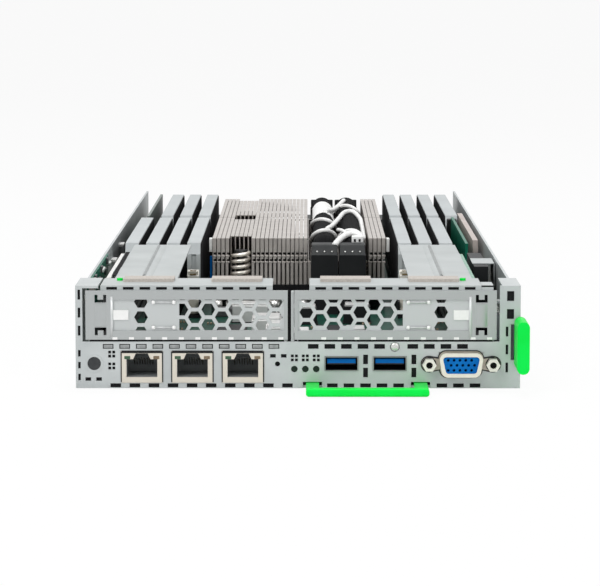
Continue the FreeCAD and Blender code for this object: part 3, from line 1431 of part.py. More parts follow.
def make_dock():
    dock = new_body("dock_body")
    start = f"{REAR} - dock_setback - dock_length"
    for x, width in (("power_dock_x", "power_dock_width"), ("signal_dock_x", "signal_dock_width")):
        count = int(getattr(dims, width) / dims.dock_cell_pitch)
        pad(dock, "XZ_Plane", start, "dock_length", rectangle(x, BOARD_TOP, width, "dock_height"))
        margin = f"({width} - dock_cell_pitch * {count - 1} - dock_cell_width) / 2"
        cell = pocket(dock, "XZ_Plane", f"{REAR} - dock_setback - dock_cell_depth", "dock_cell_depth",
                      rectangle(f"{x} + {margin}", f"{BOARD_TOP} + dock_height / 2 - dock_cell_height / 2",
                                "dock_cell_width", "dock_cell_height"))
        repeat(dock, cell, "X_Axis", "dock_cell_pitch", count)
    finish(dock, "dock_connectors")


make_tray()
make_front_panel()
make_slot_cover("left_slot_cover", "left_bay_x", -1)
make_slot_cover("right_slot_cover", "right_bay_x", 1)
make_slot_tabs()
make_riser_cage("left_riser_cage", "left_bay_x", "left_plate_x", "left_riser_x", -1)
make_riser_cage("right_riser_cage", "right_bay_x", "right_plate_x", "right_riser_x", 1)
make_cage_trim()
make_risers()
make_mainboard()
make_lan_ports()
make_usb_ports()
make_video_port()
make_controls()
make_processors()
make_heat_sink("front_heat_sink", 0)
make_heat_sink("rear_heat_sink", 1)
make_memory_sockets()
make_memory_blanks("front_memory_blanks", 0)
make_memory_blanks("rear_memory_blanks", 1)
make_memory_modules()
make_memory_latches()
make_cables()
make_handle()
make_latch()
make_air_guides()
make_dock()
doc.recompute()

failed = [item.Name for item in doc.Objects if {"Invalid", "Error"} & set(item.State)]
failed += [item.Label for item in pieces if item.Shape.isNull() or not item.Shape.isValid()]
if failed:
    raise RuntimeError(f"these objects failed: {failed}")

os.makedirs("parts", exist_ok=True)
for item in pieces:
    item.Shape.exportStep(f"parts/{item.Label}.step")
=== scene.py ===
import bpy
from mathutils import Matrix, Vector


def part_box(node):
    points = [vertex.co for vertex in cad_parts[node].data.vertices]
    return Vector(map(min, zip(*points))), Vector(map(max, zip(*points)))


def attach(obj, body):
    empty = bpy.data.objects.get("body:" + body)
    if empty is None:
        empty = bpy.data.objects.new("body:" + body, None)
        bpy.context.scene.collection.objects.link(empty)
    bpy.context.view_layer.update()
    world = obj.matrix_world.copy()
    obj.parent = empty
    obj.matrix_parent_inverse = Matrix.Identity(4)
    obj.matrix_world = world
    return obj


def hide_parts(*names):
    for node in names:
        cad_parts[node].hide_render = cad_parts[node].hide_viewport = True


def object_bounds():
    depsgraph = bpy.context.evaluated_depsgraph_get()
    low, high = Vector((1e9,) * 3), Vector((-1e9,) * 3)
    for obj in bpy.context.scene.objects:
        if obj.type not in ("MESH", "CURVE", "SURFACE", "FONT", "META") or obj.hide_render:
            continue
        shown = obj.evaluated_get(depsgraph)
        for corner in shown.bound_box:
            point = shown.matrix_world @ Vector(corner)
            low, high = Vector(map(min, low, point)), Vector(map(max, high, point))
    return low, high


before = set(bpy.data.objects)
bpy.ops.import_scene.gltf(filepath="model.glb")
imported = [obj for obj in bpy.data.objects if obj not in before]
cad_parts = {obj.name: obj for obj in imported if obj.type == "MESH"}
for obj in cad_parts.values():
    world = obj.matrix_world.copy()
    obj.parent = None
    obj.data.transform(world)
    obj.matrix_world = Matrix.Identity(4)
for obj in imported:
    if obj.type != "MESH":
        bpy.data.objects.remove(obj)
cad_box = [list(corner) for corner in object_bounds()]

import math
import random

import bmesh
import bpy
from mathutils import Matrix, Vector

# The tray is folded from zinc-plated sheet steel: a flat floor and two plain side walls.
# Its skin is satin, with faint grey clouds from the plating and a fine rolled grain.


def add_node(tree, kind, sockets, **settings):
    """A shader node; each socket named gets a value or the output of another node."""
    node = tree.nodes.new("ShaderNode" + kind)
    for name, value in settings.items():
        setattr(node, name, value)
    for name, value in sockets.items():
        if isinstance(value, bpy.types.NodeSocket):
            tree.links.new(value, node.inputs[name])
        else:
            node.inputs[name].default_value = value
    return node


def own_place(tree):
    """Where a point lies on its piece, in metres."""
    return add_node(tree, "TexCoord", {}).outputs["Object"]


def cloud(tree, scale, stretch=(1, 1, 1), detail=5.0):
    """A noise over the piece."""
    place = add_node(tree, "Mapping", {"Vector": own_place(tree), "Scale": stretch})
    noise = add_node(tree, "TexNoise", {"Vector": place.outputs["Vector"], "Scale": scale, "Detail": detail})
    return noise.outputs["Fac"]


def tint(tree, factor, dark, light, low=0.3, high=0.7):
    """Colour the piece between two tones along a factor."""
    ramp = add_node(tree, "ValToRGB", {"Fac": factor})
    for stop, position, tone in zip(ramp.color_ramp.elements, (low, high), (dark, light)):
        stop.position = position
        stop.color = (*tone, 1.0)
    tree.links.new(ramp.outputs["Color"], tree.nodes["Principled BSDF"].inputs["Base Color"])
    return ramp


def emboss(tree, factor, strength, depth):
    """Raise the skin along a factor, by a depth in metres."""
    bump = add_node(tree, "Bump", {"Height": factor, "Strength": strength, "Distance": depth})
    tree.links.new(bump.outputs["Normal"], tree.nodes["Principled BSDF"].inputs["Normal"])


def new_finish(name, colour, metallic=0.0, roughness=0.5, shine=0.5, tones=None, gloss=None, grain=None):
    """A finish with two clouded tones, uneven gloss and a fine grain, each led by the scale of its noise."""
    finish = bpy.data.materials.new(name)
    finish.use_nodes = True
    tree = finish.node_tree
    shader = tree.nodes["Principled BSDF"]
    shader.inputs["Base Color"].default_value = (*colour, 1.0)
    shader.inputs["Metallic"].default_value = metallic
    shader.inputs["Roughness"].default_value = roughness
    shader.inputs["Specular IOR Level"].default_value = shine
    if tones:
        scale, dark, light = tones
        tint(tree, cloud(tree, scale), dark, light)
    if gloss:
        scale, smooth, rough = gloss
        spread = add_node(tree, "MapRange", {"Value": cloud(tree, scale), "To Min": smooth, "To Max": rough})
        tree.links.new(spread.outputs["Result"], shader.inputs["Roughness"])
    if grain:
        scale, strength, depth, *stretch = grain
        emboss(tree, cloud(tree, scale, *stretch), strength, depth)
    return finish


def dress(finish, *names):
    """Give carried-over solids their finish."""
    for name in names:
        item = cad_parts[name]
        if not item.material_slots:
            item.data.materials.append(finish)
        for slot in item.material_slots:
            slot.material = finish


zinc = new_finish(
    "zinc_sheet", (0.5, 0.53, 0.53), 0.45, 0.4, gloss=(240, 0.32, 0.48),
    tones=(55, (0.45, 0.48, 0.485), (0.55, 0.58, 0.58)), grain=(1500, 0.12, 0.0001, (1, 0.08, 1)))
dress(zinc, "tray")

# The port panel is the same sheet, bent back at the sides and the top corners.
# Slots and small square vents are punched through it, and a black block set in each one is painted shade.
MM = 0.001  # pieces are made in millimetres, and the scene is in metres


def solid_box(node):
    """Low and high corners of a carried-over solid, in millimetres."""
    return [Vector(corner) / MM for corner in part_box(node)]


def new_object(name, mesh, finish):
    """Put a finished mesh in the scene."""
    data = bpy.data.meshes.new(name)
    mesh.to_mesh(data)
    mesh.free()
    data.materials.append(finish)
    item = bpy.data.objects.new(name, data)
    bpy.context.scene.collection.objects.link(item)
    return item


def piece_from(name, mesh, finish, body="chassis", smooth=False):
    """Make a mesh a piece that rides on a body."""
    bmesh.ops.recalc_face_normals(mesh, faces=mesh.faces)
    piece = new_object(name, mesh, finish)
    piece.data.polygons.foreach_set("use_smooth", [smooth] * len(piece.data.polygons))
    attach(piece, body)
    return piece


def soften(mesh, edges, offset):
    """Round edges off in two steps."""
    bmesh.ops.bevel(mesh, geom=list(edges), offset=offset, segments=2, profile=0.6, affect="EDGES")


def add_block(mesh, low, high, bevel=0.0):
    """A block between two corners, with softened edges."""
    low, high = Vector(low) * MM, Vector(high) * MM
    size = high - low
    place = Matrix.Translation((low + high) / 2) @ Matrix.Diagonal((*size, 1.0))
    made = bmesh.ops.create_cube(mesh, size=1.0, matrix=place)
    if bevel:
        edges = {edge for vert in made["verts"] for edge in vert.link_edges}
        soften(mesh, edges, min(bevel * MM, 0.45 * min(size)))


def block_piece(name, finish, slot, *blocks):
    """A piece of the chassis made of blocks, each given by two corners and a bevel."""
    mesh = bmesh.new()
    for block in blocks:
        add_block(mesh, *block)
    piece_from(name, mesh, finish)


dress(zinc, "front_panel")
sheet_thickness = 1.0
panel_y = solid_box("tray")[0].y - sheet_thickness
# a black used for foam and for painted shade in gaps, holes and slots
black_foam_and_shade = new_finish(
    "black_foam_and_shade", (0.012, 0.012, 0.013), 0.0, 0.9, 0.1, grain=(3000, 0.3, 0.0001),
    tones=(1500, (0.008, 0.008, 0.009), (0.018, 0.018, 0.02)))
# rows of openings across the panel: first left edge, step, count, foot, width, height
across = (
    (-73.6, 7.49, 10, 0.3, 4.2, 1.6), (11.4, 6.5, 5, 0.3, 4.2, 1.6), (54.4, 6.5, 3, 0.3, 4.2, 1.6),
    (-76.5, 6.5, 11, 15.6, 4.2, 1.9), (3.9, 6.5, 5, 15.6, 4.2, 1.9), (42.9, 6.5, 4, 15.6, 4.2, 1.9),
    (-83.4, 4.25, 2, 2.9, 2.2, 1.4), (-10.9, 4.25, 2, 12.1, 2.2, 1.4), (25.57, 18.95, 2, 4.3, 1.9, 3.8),
    (25.57, 18.95, 2, 9.5, 1.9, 3.8))
# columns of openings: left edge, first foot, step, count, width, height
upward = (
    (-86.2, 20.8, 7.1, 3, 1.0, 3.9), (-86.2, 3.1, 4.7, 3, 1.0, 2.6), (81.4, 6.3, 7.1, 3, 1.0, 3.9),
    (81.8, 27.4, 7.1, 2, 2.8, 3.9))
# left edge and foot of the groups of four square vents
vent_groups = ((-74.4, 7.4), (-74.4, 12.1), (-2.775, 10.6), (1.525, 10.6), (5.825, 10.6))
vent_step, vent_width = 1.6, 1.15
openings = [
    (first + n * step, foot, width, height) for first, step, count, foot, width, height in across
    for n in range(count)]
openings += [
    (edge, first + n * step, width, height) for edge, first, step, count, width, height in upward
    for n in range(count)]
openings += [
    (edge + vent_step * (n % 2), foot + vent_step * (n // 2), vent_width, vent_width) for edge, foot in vent_groups
    for n in range(4)]
# a black block in each opening is painted shade, for the dark inside seen through it
shade_gap, shade_front, shade_back = 0.04, panel_y + 0.4, panel_y + 0.95
block_piece(
    "panel_vent_shade", black_foam_and_shade, "black_plastic",
    *[((x + shade_gap, shade_front, z + shade_gap), (x + width - shade_gap, shade_back, z + height - shade_gap), 0.1)
    for x, z, width, height in openings])

# Flush rivets close the panel's side flanges on the tray's walls, with domed heads inside.
# They are plated steel, and a screw of the same kind sits under the right cover.
bright_steel = new_finish(
    "bright_steel", (0.62, 0.62, 0.6), 0.85, 0.28, gloss=(800, 0.2, 0.36),
    tones=(300, (0.55, 0.55, 0.535), (0.69, 0.69, 0.67)))


def circle(count):
    """Cosine and sine of evenly spaced angles."""
    angles = [2 * math.pi * k / count for k in range(count)]
    return [(math.cos(angle), math.sin(angle)) for angle in angles]


def skin(mesh, rings, closed=False):
    """Faces between rings of points, with the two ends capped unless the last ring meets the first."""
    rows = [[mesh.verts.new(Vector(point) * MM) for point in ring] for ring in rings]
    pairs = list(zip(rows, rows[1:]))
    if closed:
        pairs.append((rows[-1], rows[0]))
    else:
        mesh.faces.new(rows[0][::-1])
        mesh.faces.new(rows[-1])
    for first, second in pairs:
        for k in range(len(first)):
            n = (k + 1) % len(first)
            mesh.faces.new((first[k], first[n], second[n], second[k]))


def add_dome(mesh, centre, axis, radius, height, sides=20):
    """A low domed head that stands on a plane and looks along an axis."""
    turn = Vector(axis).to_track_quat("Z", "Y").to_matrix()
    rings = []
    for level in range(5):
        lean = math.radians(22.5 * level)
        reach, rise = max(radius * math.cos(lean), radius * 0.02), height * math.sin(lean)
        rings.append([Vector(centre) + turn @ Vector((reach * c, reach * s, rise)) for c, s in circle(sides)])
    skin(mesh, rings)


rivets, panel_screw = bmesh.new(), bmesh.new()
wall_inside = solid_box("front_panel")[1].x - 2 * sheet_thickness
for side in (-1, 1):
    for back, rise in ((8, 33), (19, 33), (19, 7)):
        add_dome(rivets, (side * wall_inside, panel_y + back, rise), (-side, 0, 0), 1.6, 0.5)
piece_from("flange_rivets", rivets, bright_steel, smooth=True)
add_dome(panel_screw, (38, panel_y + 0.6, 16.3), (0, -1, 0), 1.85, 0.6)
piece_from("panel_screw", panel_screw, bright_steel, smooth=True)

# The pull handle is a steel bail with a thick green coat, rounded along its bar.
# Its legs run through the panel and are riveted to the floor.
grip_green = new_finish(
    "grip_green", (0.0, 0.8, 0.06), 0.0, 0.4, 0.12, grain=(2600, 0.08, 0.00005),
    tones=(60, (0.0, 0.75, 0.05), (0.002, 0.85, 0.085)))
dress(grip_green, "pull_handle")

# The release latch is a sheet-steel lever on an upright pin, sprung outwards.
# A green cap on its end is pressed towards the middle of the node.
dress(grip_green, "latch_cap")
dress(zinc, "latch_lever")
dress(bright_steel, "latch_pin")


def add_tube(mesh, points, radius, sides=8, closed=False):
    """A round bar along a row of points, or round a closed loop of them."""
    points = [Vector(point) for point in points]
    rings = []
    last = len(points) - 1
    for n, point in enumerate(points):
        if closed:
            ahead = points[(n + 1) % len(points)] - points[n - 1]
        else:
            ahead = points[min(n + 1, last)] - points[max(n - 1, 0)]
        turn = ahead.to_track_quat("Z", "Y").to_matrix()
        rings.append([point + turn @ Vector((radius * c, radius * s, 0)) for c, s in circle(sides)])
    skin(mesh, rings, closed)


def add_coil(mesh, x, y, low, high, radius, wire, turns=5, turn_steps=16):
    """An upright coil spring between two heights."""
    steps = turn_steps * turns
    points = []
    for n in range(steps + 1):
        angle = 2 * math.pi * n / turn_steps
        height = low + wire + (high - low - 2 * wire) * n / steps
        points.append((x + radius * math.cos(angle), y + radius * math.sin(angle), height))
    add_tube(mesh, points, wire, 6)


spring_steel = new_finish("spring_steel", (0.8, 0.79, 0.76), 0.9, 0.22, gloss=(900, 0.16, 0.3))
low, high = solid_box("latch_spring")
middle = (low + high) / 2
latch_coil = bmesh.new()
add_coil(latch_coil, middle.x, middle.y, low.z, high.z, (high.x - low.x) / 2 - 0.35, 0.34)
piece = piece_from("latch_coil", latch_coil, spring_steel, smooth=True)
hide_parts("latch_spring")

# The mainboard is green glass fibre with solder mask, screwed to the tray's stand-offs.
# Copper shows through the mask as paler runs.


def traces(finish, scale, dark, light):
    """Etched copper under the mask: a net of paler runs."""
    tree = finish.node_tree
    cells = add_node(tree, "TexVoronoi", {"Vector": own_place(tree), "Scale": scale}, distance="MANHATTAN")
    ramp = tint(tree, cells.outputs["Distance"], dark, light, 0.35, 0.75)
    ramp.color_ramp.interpolation = "EASE"
    emboss(tree, cells.outputs["Distance"], 0.15, 0.0001)


board_mask = new_finish("board_mask", (0.0, 0.08, 0.05), 0.0, 0.4, 0.3)
traces(board_mask, 260, (0.0, 0.026, 0.017), (0.003, 0.06, 0.038))
dress(board_mask, "mainboard")
dress(bright_steel, "board_screws")
board_top = solid_box("mainboard")[1].z

# Small parts crowd the board's free areas: chips, coils, cans and rows of tiny chip capacitors.
# They are reflow soldered, so they sit flat on the mask.
black_plastic = new_finish(
    "black_plastic", (0.01, 0.011, 0.012), 0.0, 0.5, 0.2, grain=(3200, 0.1, 0.00005),
    tones=(90, (0.007, 0.008, 0.009), (0.014, 0.015, 0.016)))
coil_grey = new_finish(
    "coil_grey", (0.1, 0.1, 0.105), 0.2, 0.5, tones=(700, (0.07, 0.07, 0.075), (0.14, 0.14, 0.145)))
tan_ceramic = new_finish(
    "tan_ceramic", (0.4, 0.29, 0.19), 0.0, 0.45, tones=(900, (0.33, 0.23, 0.15), (0.47, 0.35, 0.24)))
can_tin = new_finish("can_tin", (0.78, 0.78, 0.77), 0.35, 0.3, tones=(200, (0.72, 0.72, 0.71), (0.84, 0.84, 0.83)))


def put_block(mesh, x, y, width, depth, height, bevel):
    """A soldered part, given by its middle and its sizes."""
    add_block(
        mesh, (x - width / 2, y - depth / 2, board_top), (x + width / 2, y + depth / 2, board_top + height), bevel)


def add_can(mesh, x, y, radius, height):
    """An upright can with a rolled groove near its foot."""
    outline = (
        (radius, 0), (radius, 1.0), (radius - 0.35, 1.3), (radius, 1.6), (radius, height - 0.5),
        (radius - 0.5, height), (0.05, height))
    skin(mesh, [[(x + reach * c, y + reach * s, board_top + rise) for c, s in circle(20)] for reach, rise in outline])


chips, coils, supply_cans, supply_lids, cans, ceramics = (bmesh.new() for n in range(6))
# middle, width, depth and height of each chip, then of each can
for sizes in (
        (-36, -205, 27, 27, 2.6), (18, -160, 21, 21, 2.2), (-30, -150, 14, 20, 1.2), (40, -215, 14, 14, 1.4),
        (44, -180, 10, 14, 1.2), (-2, -236, 9, 9, 1.1), (-40, 205, 17, 17, 1.6), (14, 215, 14, 20, 1.4),
        (52, 200, 10, 10, 1.1), (-64, 226, 9, 12, 1.1), (60, 234, 8, 12, 1.1)):
    put_block(chips, *sizes, 0.3)
piece_from("board_chips", chips, black_plastic)
for y in (-103, 160):
    for n in range(6):
        put_block(coils, -36 + n * 7.4, y, 6.4, 6.4, 4.2, 0.5)
piece_from("power_coils", coils, coil_grey)
for x, y, width, depth, height in (
        (-24, -252, 12, 9, 8), (-10, -254, 9, 8, 7.5), (-14, -165, 13, 18, 8.5), (-9, -196, 10, 14, 9),
        (-22, -122, 16, 10, 9), (2, -128, 12, 10, 8.5), (1, -206, 8, 12, 8), (24, -200, 9, 12, 8),
        (26, -125, 12, 9, 9), (-38, -240, 8, 8, 7), (12, -228, 7, 9, 9), (30, -236, 8, 8, 7)):
    put_block(supply_lids if x < 0 else supply_cans, x, y, width, depth, height - 1.2, 0.3)
    put_block(supply_cans, x, y, width + 1.0, depth + 1.0, 0.5, 0.1)
    put_block(supply_lids, x, y, width - 1.2, depth - 1.2, height, 0.5)
piece_from("supply_cans", supply_cans, black_plastic)
piece_from("supply_lids", supply_lids, can_tin)
for y in (-92, 149):
    for n in range(7):
        add_can(cans, -38 + n * 6.6, y, 2.6, 6.0)
for n in range(4):
    add_can(cans, 6.5, -250 + n * 9, 3.1, 7.5)
piece_from("power_cans", cans, bright_steel, smooth=True)
random.seed(11)
for x_from, x_to, y_from, y_to, rows in ((-66, 62, -262, -124, 70), (-76, 76, 182, 252, 60)):
    for n in range(rows):
        x, y = random.uniform(x_from, x_to), random.uniform(y_from, y_to)
        for k in range(3):
            put_block(ceramics, x + 1.4 * k, y, 0.8, 1.6, 0.8, 0.1)
piece_from("chip_capacitors", ceramics, tan_ceramic)

# Each network jack is a cream frame around a well that is painted dark as painted shade, with two small lamps in its
# upper corners.
# A tinned shield wraps it, and eight sprung gold wires, painted dark as painted shade, slant down into the well.


def deep_colour(finish, edge, before, after):
    """One tone up to a depth behind the panel, and another beyond it."""
    tree = finish.node_tree
    split = add_node(tree, "SeparateXYZ", {"Vector": own_place(tree)})
    beyond = add_node(tree, "Math", {0: split.outputs["Y"], 1: edge * MM}, operation="GREATER_THAN")
    tint(tree, beyond.outputs["Value"], before, after, 0.4, 0.6)


jack_cream = new_finish("jack_cream", (0.66, 0.61, 0.52), 0.0, 0.45, 0.3, grain=(2400, 0.08, 0.00005))
# the jack is painted dark behind its front edge, as painted shade in the well
deep_colour(jack_cream, panel_y + 0.4, (0.7, 0.655, 0.57), (0.27, 0.29, 0.295))
dress(jack_cream, "lan_jacks")
shield_tin = new_finish(
    "shield_tin", (0.56, 0.55, 0.53), 0.8, 0.34, gloss=(300, 0.26, 0.44),
    tones=(200, (0.5, 0.49, 0.475), (0.62, 0.61, 0.59)))
dress(shield_tin, "lan_shields")
gold = new_finish("gold_wire", (0.72, 0.5, 0.18), 0.9, 0.3, gloss=(900, 0.22, 0.36))
# the wires' gold is painted dark, as painted shade in the well
shaded_gold = new_finish(
    "shaded_gold", (0.15, 0.135, 0.11), 0.5, 0.5, tones=(900, (0.12, 0.11, 0.09), (0.18, 0.16, 0.13)))
shoulder_cream = new_finish(
    "shoulder_cream", (0.7, 0.655, 0.57), 0.0, 0.45, 0.3, tones=(300, (0.66, 0.615, 0.53), (0.74, 0.695, 0.61)))
lamp_green = new_finish(
    "lamp_green", (0.03, 0.09, 0.05), 0.0, 0.25, tones=(1200, (0.02, 0.07, 0.035), (0.045, 0.12, 0.06)))
lamp_amber = new_finish(
    "lamp_amber", (0.18, 0.13, 0.08), 0.0, 0.25, tones=(1200, (0.13, 0.09, 0.05), (0.23, 0.17, 0.1)))
low, high = solid_box("lan_jacks")
jack_pitch, jack_width, wire_pitch, lamp_reach = 19.8, 16.2, 1.02, 5.7
wire_run = ((7.2, 8.8), (8.5, 8.3), (14.5, 5.2))  # depth and height along a wire
keyway_half, keyway_foot, keyway_top, shoulder = 3.35, 9.3, 11.6, 1.0
wedge = ((0.1, keyway_foot), (0.1, keyway_top), (-shoulder, keyway_top))
jack_wires, green_lamps, amber_lamps, jack_shadow_rims, shoulders = (bmesh.new() for n in range(5))
for n in range(3):
    middle = low.x + jack_width / 2 + n * jack_pitch
    for k in range(8):
        x = middle + (k - 3.5) * wire_pitch
        add_tube(jack_wires, [(x, low.y + back, low.z + rise) for back, rise in wire_run], 0.2, 6)
    for mesh, side in ((green_lamps, -1), (amber_lamps, 1)):
        x = middle + side * lamp_reach
        add_block(mesh, (x - 1.2, low.y - 0.1, high.z - 3.3), (x + 1.2, low.y + 1, high.z - 2.0), 0.2)
        skin(
            shoulders, [[(middle + side * (keyway_half + reach), y, low.z + rise) for reach, rise in wedge]
            for y in (low.y - 0.05, low.y + 1.2)])
    left, right = middle - jack_width / 2, middle + jack_width / 2
    # a black rim along the top and sides of each frame is painted shadow
    add_block(jack_shadow_rims, (left + 0.2, low.y - 0.1, high.z - 0.9), (right - 0.2, low.y + 1.2, high.z + 0.1), 0.1)
    for x in (left, right):
        add_block(jack_shadow_rims, (x - 0.22, low.y - 0.1, low.z + 0.2), (x + 0.22, low.y + 1.2, high.z - 0.2), 0.1)
piece_from("jack_wires", jack_wires, shaded_gold, smooth=True)
piece_from("jack_shoulders", shoulders, shoulder_cream)
piece_from("green_port_lamps", green_lamps, lamp_green)
piece_from("amber_port_lamps", amber_lamps, lamp_amber)
piece_from("jack_shadow_rims", jack_shadow_rims, black_plastic)

# The serial bus ports are folded tin shells with a blue tongue in the upper half.
# Their tin is painted dark inside as painted shade, and four flat gold contacts lie under the tongue.
usb_tin = new_finish("usb_tin", (0.45, 0.45, 0.44), 0.55, 0.4, grain=(900, 0.08, 0.0001))
# the tin is painted dark behind the panel's front, as painted shade
deep_colour(usb_tin, panel_y - 0.2, (0.3, 0.31, 0.31), (0.02, 0.02, 0.021))
dress(usb_tin, "usb_shells")
port_blue = new_finish(
    "port_blue", (0.0, 0.13, 0.47), 0.0, 0.5, 0.1, grain=(2600, 0.08, 0.00005),
    tones=(120, (0.0, 0.11, 0.42), (0.001, 0.155, 0.52)))
dress(port_blue, "usb_tongues")
low = solid_box("usb_tongues")[0]
tongue_half, port_pitch, contact_pitch = 5.55, 18.95, 2.3
usb_contacts, usb_lips = bmesh.new(), bmesh.new()
for n in range(2):
    middle = low.x + tongue_half + n * port_pitch
    for k in range(4):
        x = middle + (k - 1.5) * contact_pitch
        add_block(usb_contacts, (x - 0.6, low.y + 0.6, low.z - 0.25), (x + 0.6, low.y + 9, low.z + 0.1), 0.1)
    add_block(usb_lips, (middle - 5.4, low.y - 0.1, low.z - 0.3), (middle + 5.4, low.y + 0.5, low.z + 0.2), 0.1)
piece_from("usb_contacts", usb_contacts, gold)
piece_from("usb_lips", usb_lips, usb_tin)

# The video port is a D-shaped tin shell between two hexagonal posts, in a plate with two ears.
# A black ring round the plate is painted shadow, and the blue core has three rows of sockets inside a rolled tin
# edge.
dress(shield_tin, "video_shell")
dress(port_blue, "video_insert")
post_steel = new_finish(
    "post_steel", (0.8, 0.77, 0.71), 0.45, 0.34, tones=(400, (0.75, 0.72, 0.66), (0.86, 0.83, 0.77)))
dress(post_steel, "video_jackscrews")
low, high = solid_box("video_jackscrews")
plate_x, plate_z = (low.x + high.x) / 2, (low.z + high.z) / 2
post_x = 12.495
shell_half, shell_rise, shell_taper, rays = 8.7, 4.6, 1.5, 240


def port_outline(grow, radius):
    """The port's D with rounded corners, as points round its middle."""
    half, rise = shell_half + grow, shell_rise + grow
    corners = [
        Vector((-half + shell_taper, -rise)), Vector((half - shell_taper, -rise)), Vector((half, rise)),
        Vector((-half, rise))]
    points = []
    for n, corner in enumerate(corners):
        before = (corners[n - 1] - corner).normalized()
        after = (corners[(n + 1) % 4] - corner).normalized()
        lean = before.angle(after) / 2
        middle = corner + (before + after).normalized() * (radius / math.sin(lean))
        start = corner + before * (radius / math.tan(lean)) - middle
        end = corner + after * (radius / math.tan(lean)) - middle
        points += [middle + start.lerp(end, k / 8).normalized() * radius for k in range(9)]
    return points


def ray_length(outline, way_x, way_z):
    """Distance from the middle of a convex outline to its edge in one direction."""
    reach = 0.0
    for start, end in zip(outline, outline[1:] + outline[:1]):
        side = end - start
        cross = way_x * side.y - way_z * side.x
        if abs(cross) > 1e-9:
            along = (start.x * side.y - start.y * side.x) / cross
            share = (start.x * way_z - start.y * way_x) / cross
            if along > 0 and -1e-6 <= share <= 1 + 1e-6:
                reach = max(reach, along)
    return reach


def ring_reach(grow, radius, ear=0.0):
    """How far a ring round the port goes in each direction, with or without an ear round each post."""
    outline = port_outline(grow, radius)
    reaches = []
    for c, s in circle(rays):
        reach = ray_length(outline, c, s)
        aside, along = abs(s) * post_x, abs(c) * post_x
        if aside < ear:
            reach = max(reach, along + math.sqrt(ear * ear - aside * aside))
        reaches.append(reach)
    return reaches


def port_ring(name, finish, outer, inner, back, front):
    """A flat ring round the port, between two depths in front of the panel."""
    mesh = bmesh.new()
    skin(
        mesh, [[(plate_x + reach * c, panel_y - depth, plate_z + reach * s)
        for reach, (c, s) in zip(reaches, circle(rays))]
        for reaches, depth in ((outer, back), (outer, front), (inner, front), (inner, back))], True)
    piece_from(name, mesh, finish)


def face_ring(mesh, x, y, z, radius, count, wire, sides=8):
    """A round wire bent into a ring that faces the front."""
    add_tube(mesh, [(x + radius * c, y, z + radius * s) for c, s in circle(count)], wire, sides, True)


collar_tin = new_finish(
    "collar_tin", (0.8, 0.75, 0.67), 0.35, 0.36, tones=(220, (0.75, 0.7, 0.62), (0.85, 0.8, 0.72)))
plate_tin = new_finish("plate_tin", (0.44, 0.4, 0.34), 0.5, 0.38, tones=(220, (0.39, 0.35, 0.29), (0.5, 0.455, 0.39)))
# a black ring round the plate's edge, as painted shadow
port_shadow_black = new_finish(
    "port_shadow_ring_black", (0.03, 0.03, 0.032), 0.0, 0.8, 0.2, tones=(900, (0.022, 0.022, 0.024), (0.042, 0.042, 0.045)))
shell_reach = ring_reach(0.0, 2.4)
port_ring("video_collar", collar_tin, ring_reach(0.2, 2.6), ring_reach(-1.3, 1.2), 3.7, 4.3)
port_ring("video_plate", plate_tin, ring_reach(0.5, 2.9, 2.9), shell_reach, 0.3, 0.9)
post_washers, post_bore_shade = bmesh.new(), bmesh.new()
for side in (-1, 1):
    x = plate_x + side * post_x
    face_ring(post_washers, x, panel_y - 1, plate_z, 2.6, 32, 0.25)
    # black rings and blocks in the posts' bores are painted shade
    face_ring(post_bore_shade, x, low.y + 1.4, plate_z, 1.1, 16, 0.18, 6)
    add_block(post_bore_shade, (x - 0.8, low.y + 1.6, plate_z - 0.8), (x + 0.8, low.y + 2.2, plate_z + 0.8), 0.2)
piece_from("post_washers", post_washers, black_plastic, smooth=True)
piece_from("post_bore_shade", post_bore_shade, black_foam_and_shade)
port_ring("port_shadow_ring", port_shadow_black, ring_reach(0.9, 3.3, 3.3), shell_reach, 0.0, 0.4)

# The power button is a dark disc in a rubber ring, and light pipes show beside the reset hole.
# The button is moulded and a little shiny from touch; the pipes look dark when unlit.
button_dark = new_finish(
    "button_dark", (0.035, 0.038, 0.04), 0.0, 0.5, 0.3, tones=(500, (0.028, 0.031, 0.033), (0.045, 0.048, 0.05)))
dress(button_dark, "power_button")
dress(black_plastic, "reset_button", "panel_switches")
low, high = solid_box("power_button")
button_ring = bmesh.new()
face_ring(button_ring, (low.x + high.x) / 2, panel_y + 0.1, (low.z + high.z) / 2, 2.72, 40, 0.2)
piece_from("button_ring", button_ring, black_foam_and_shade, smooth=True)
light_pipe = new_finish(
    "light_pipe", (0.008, 0.018, 0.012), 0.0, 0.35, 0.2, tones=(400, (0.005, 0.013, 0.008), (0.012, 0.026, 0.017)))
dress(light_pipe, "status_light_pipe")

# Two processors lie in line on the board, each in a frame with a plated lid.
# They are hidden by the heat sinks except at the edges.
lid_steel = new_finish(
    "lid_steel", (0.42, 0.42, 0.41), 0.8, 0.38, tones=(260, (0.36, 0.36, 0.35), (0.48, 0.48, 0.47)))
dress(lid_steel, "processors")

# The heat sinks are stacks of folded fins, soldered to a base and cut away for the cables.
# Each fin's ends are folded over, and small tongues lock it to the next in two rows.
# A black strip along the foot of the first heat sink is painted shade.
fin_metal = new_finish(
    "fin_metal", (0.47, 0.435, 0.41), 0.6, 0.4, gloss=(500, 0.32, 0.48),
    tones=(130, (0.42, 0.39, 0.365), (0.52, 0.485, 0.455)), grain=(1800, 0.1, 0.0001, (1, 0.05, 1)))
sinks = ("front_heat_sink", "rear_heat_sink")
fin_pitch, fin_fold, fins, channel_floor = 2.02, 1.75, 40, 27.5
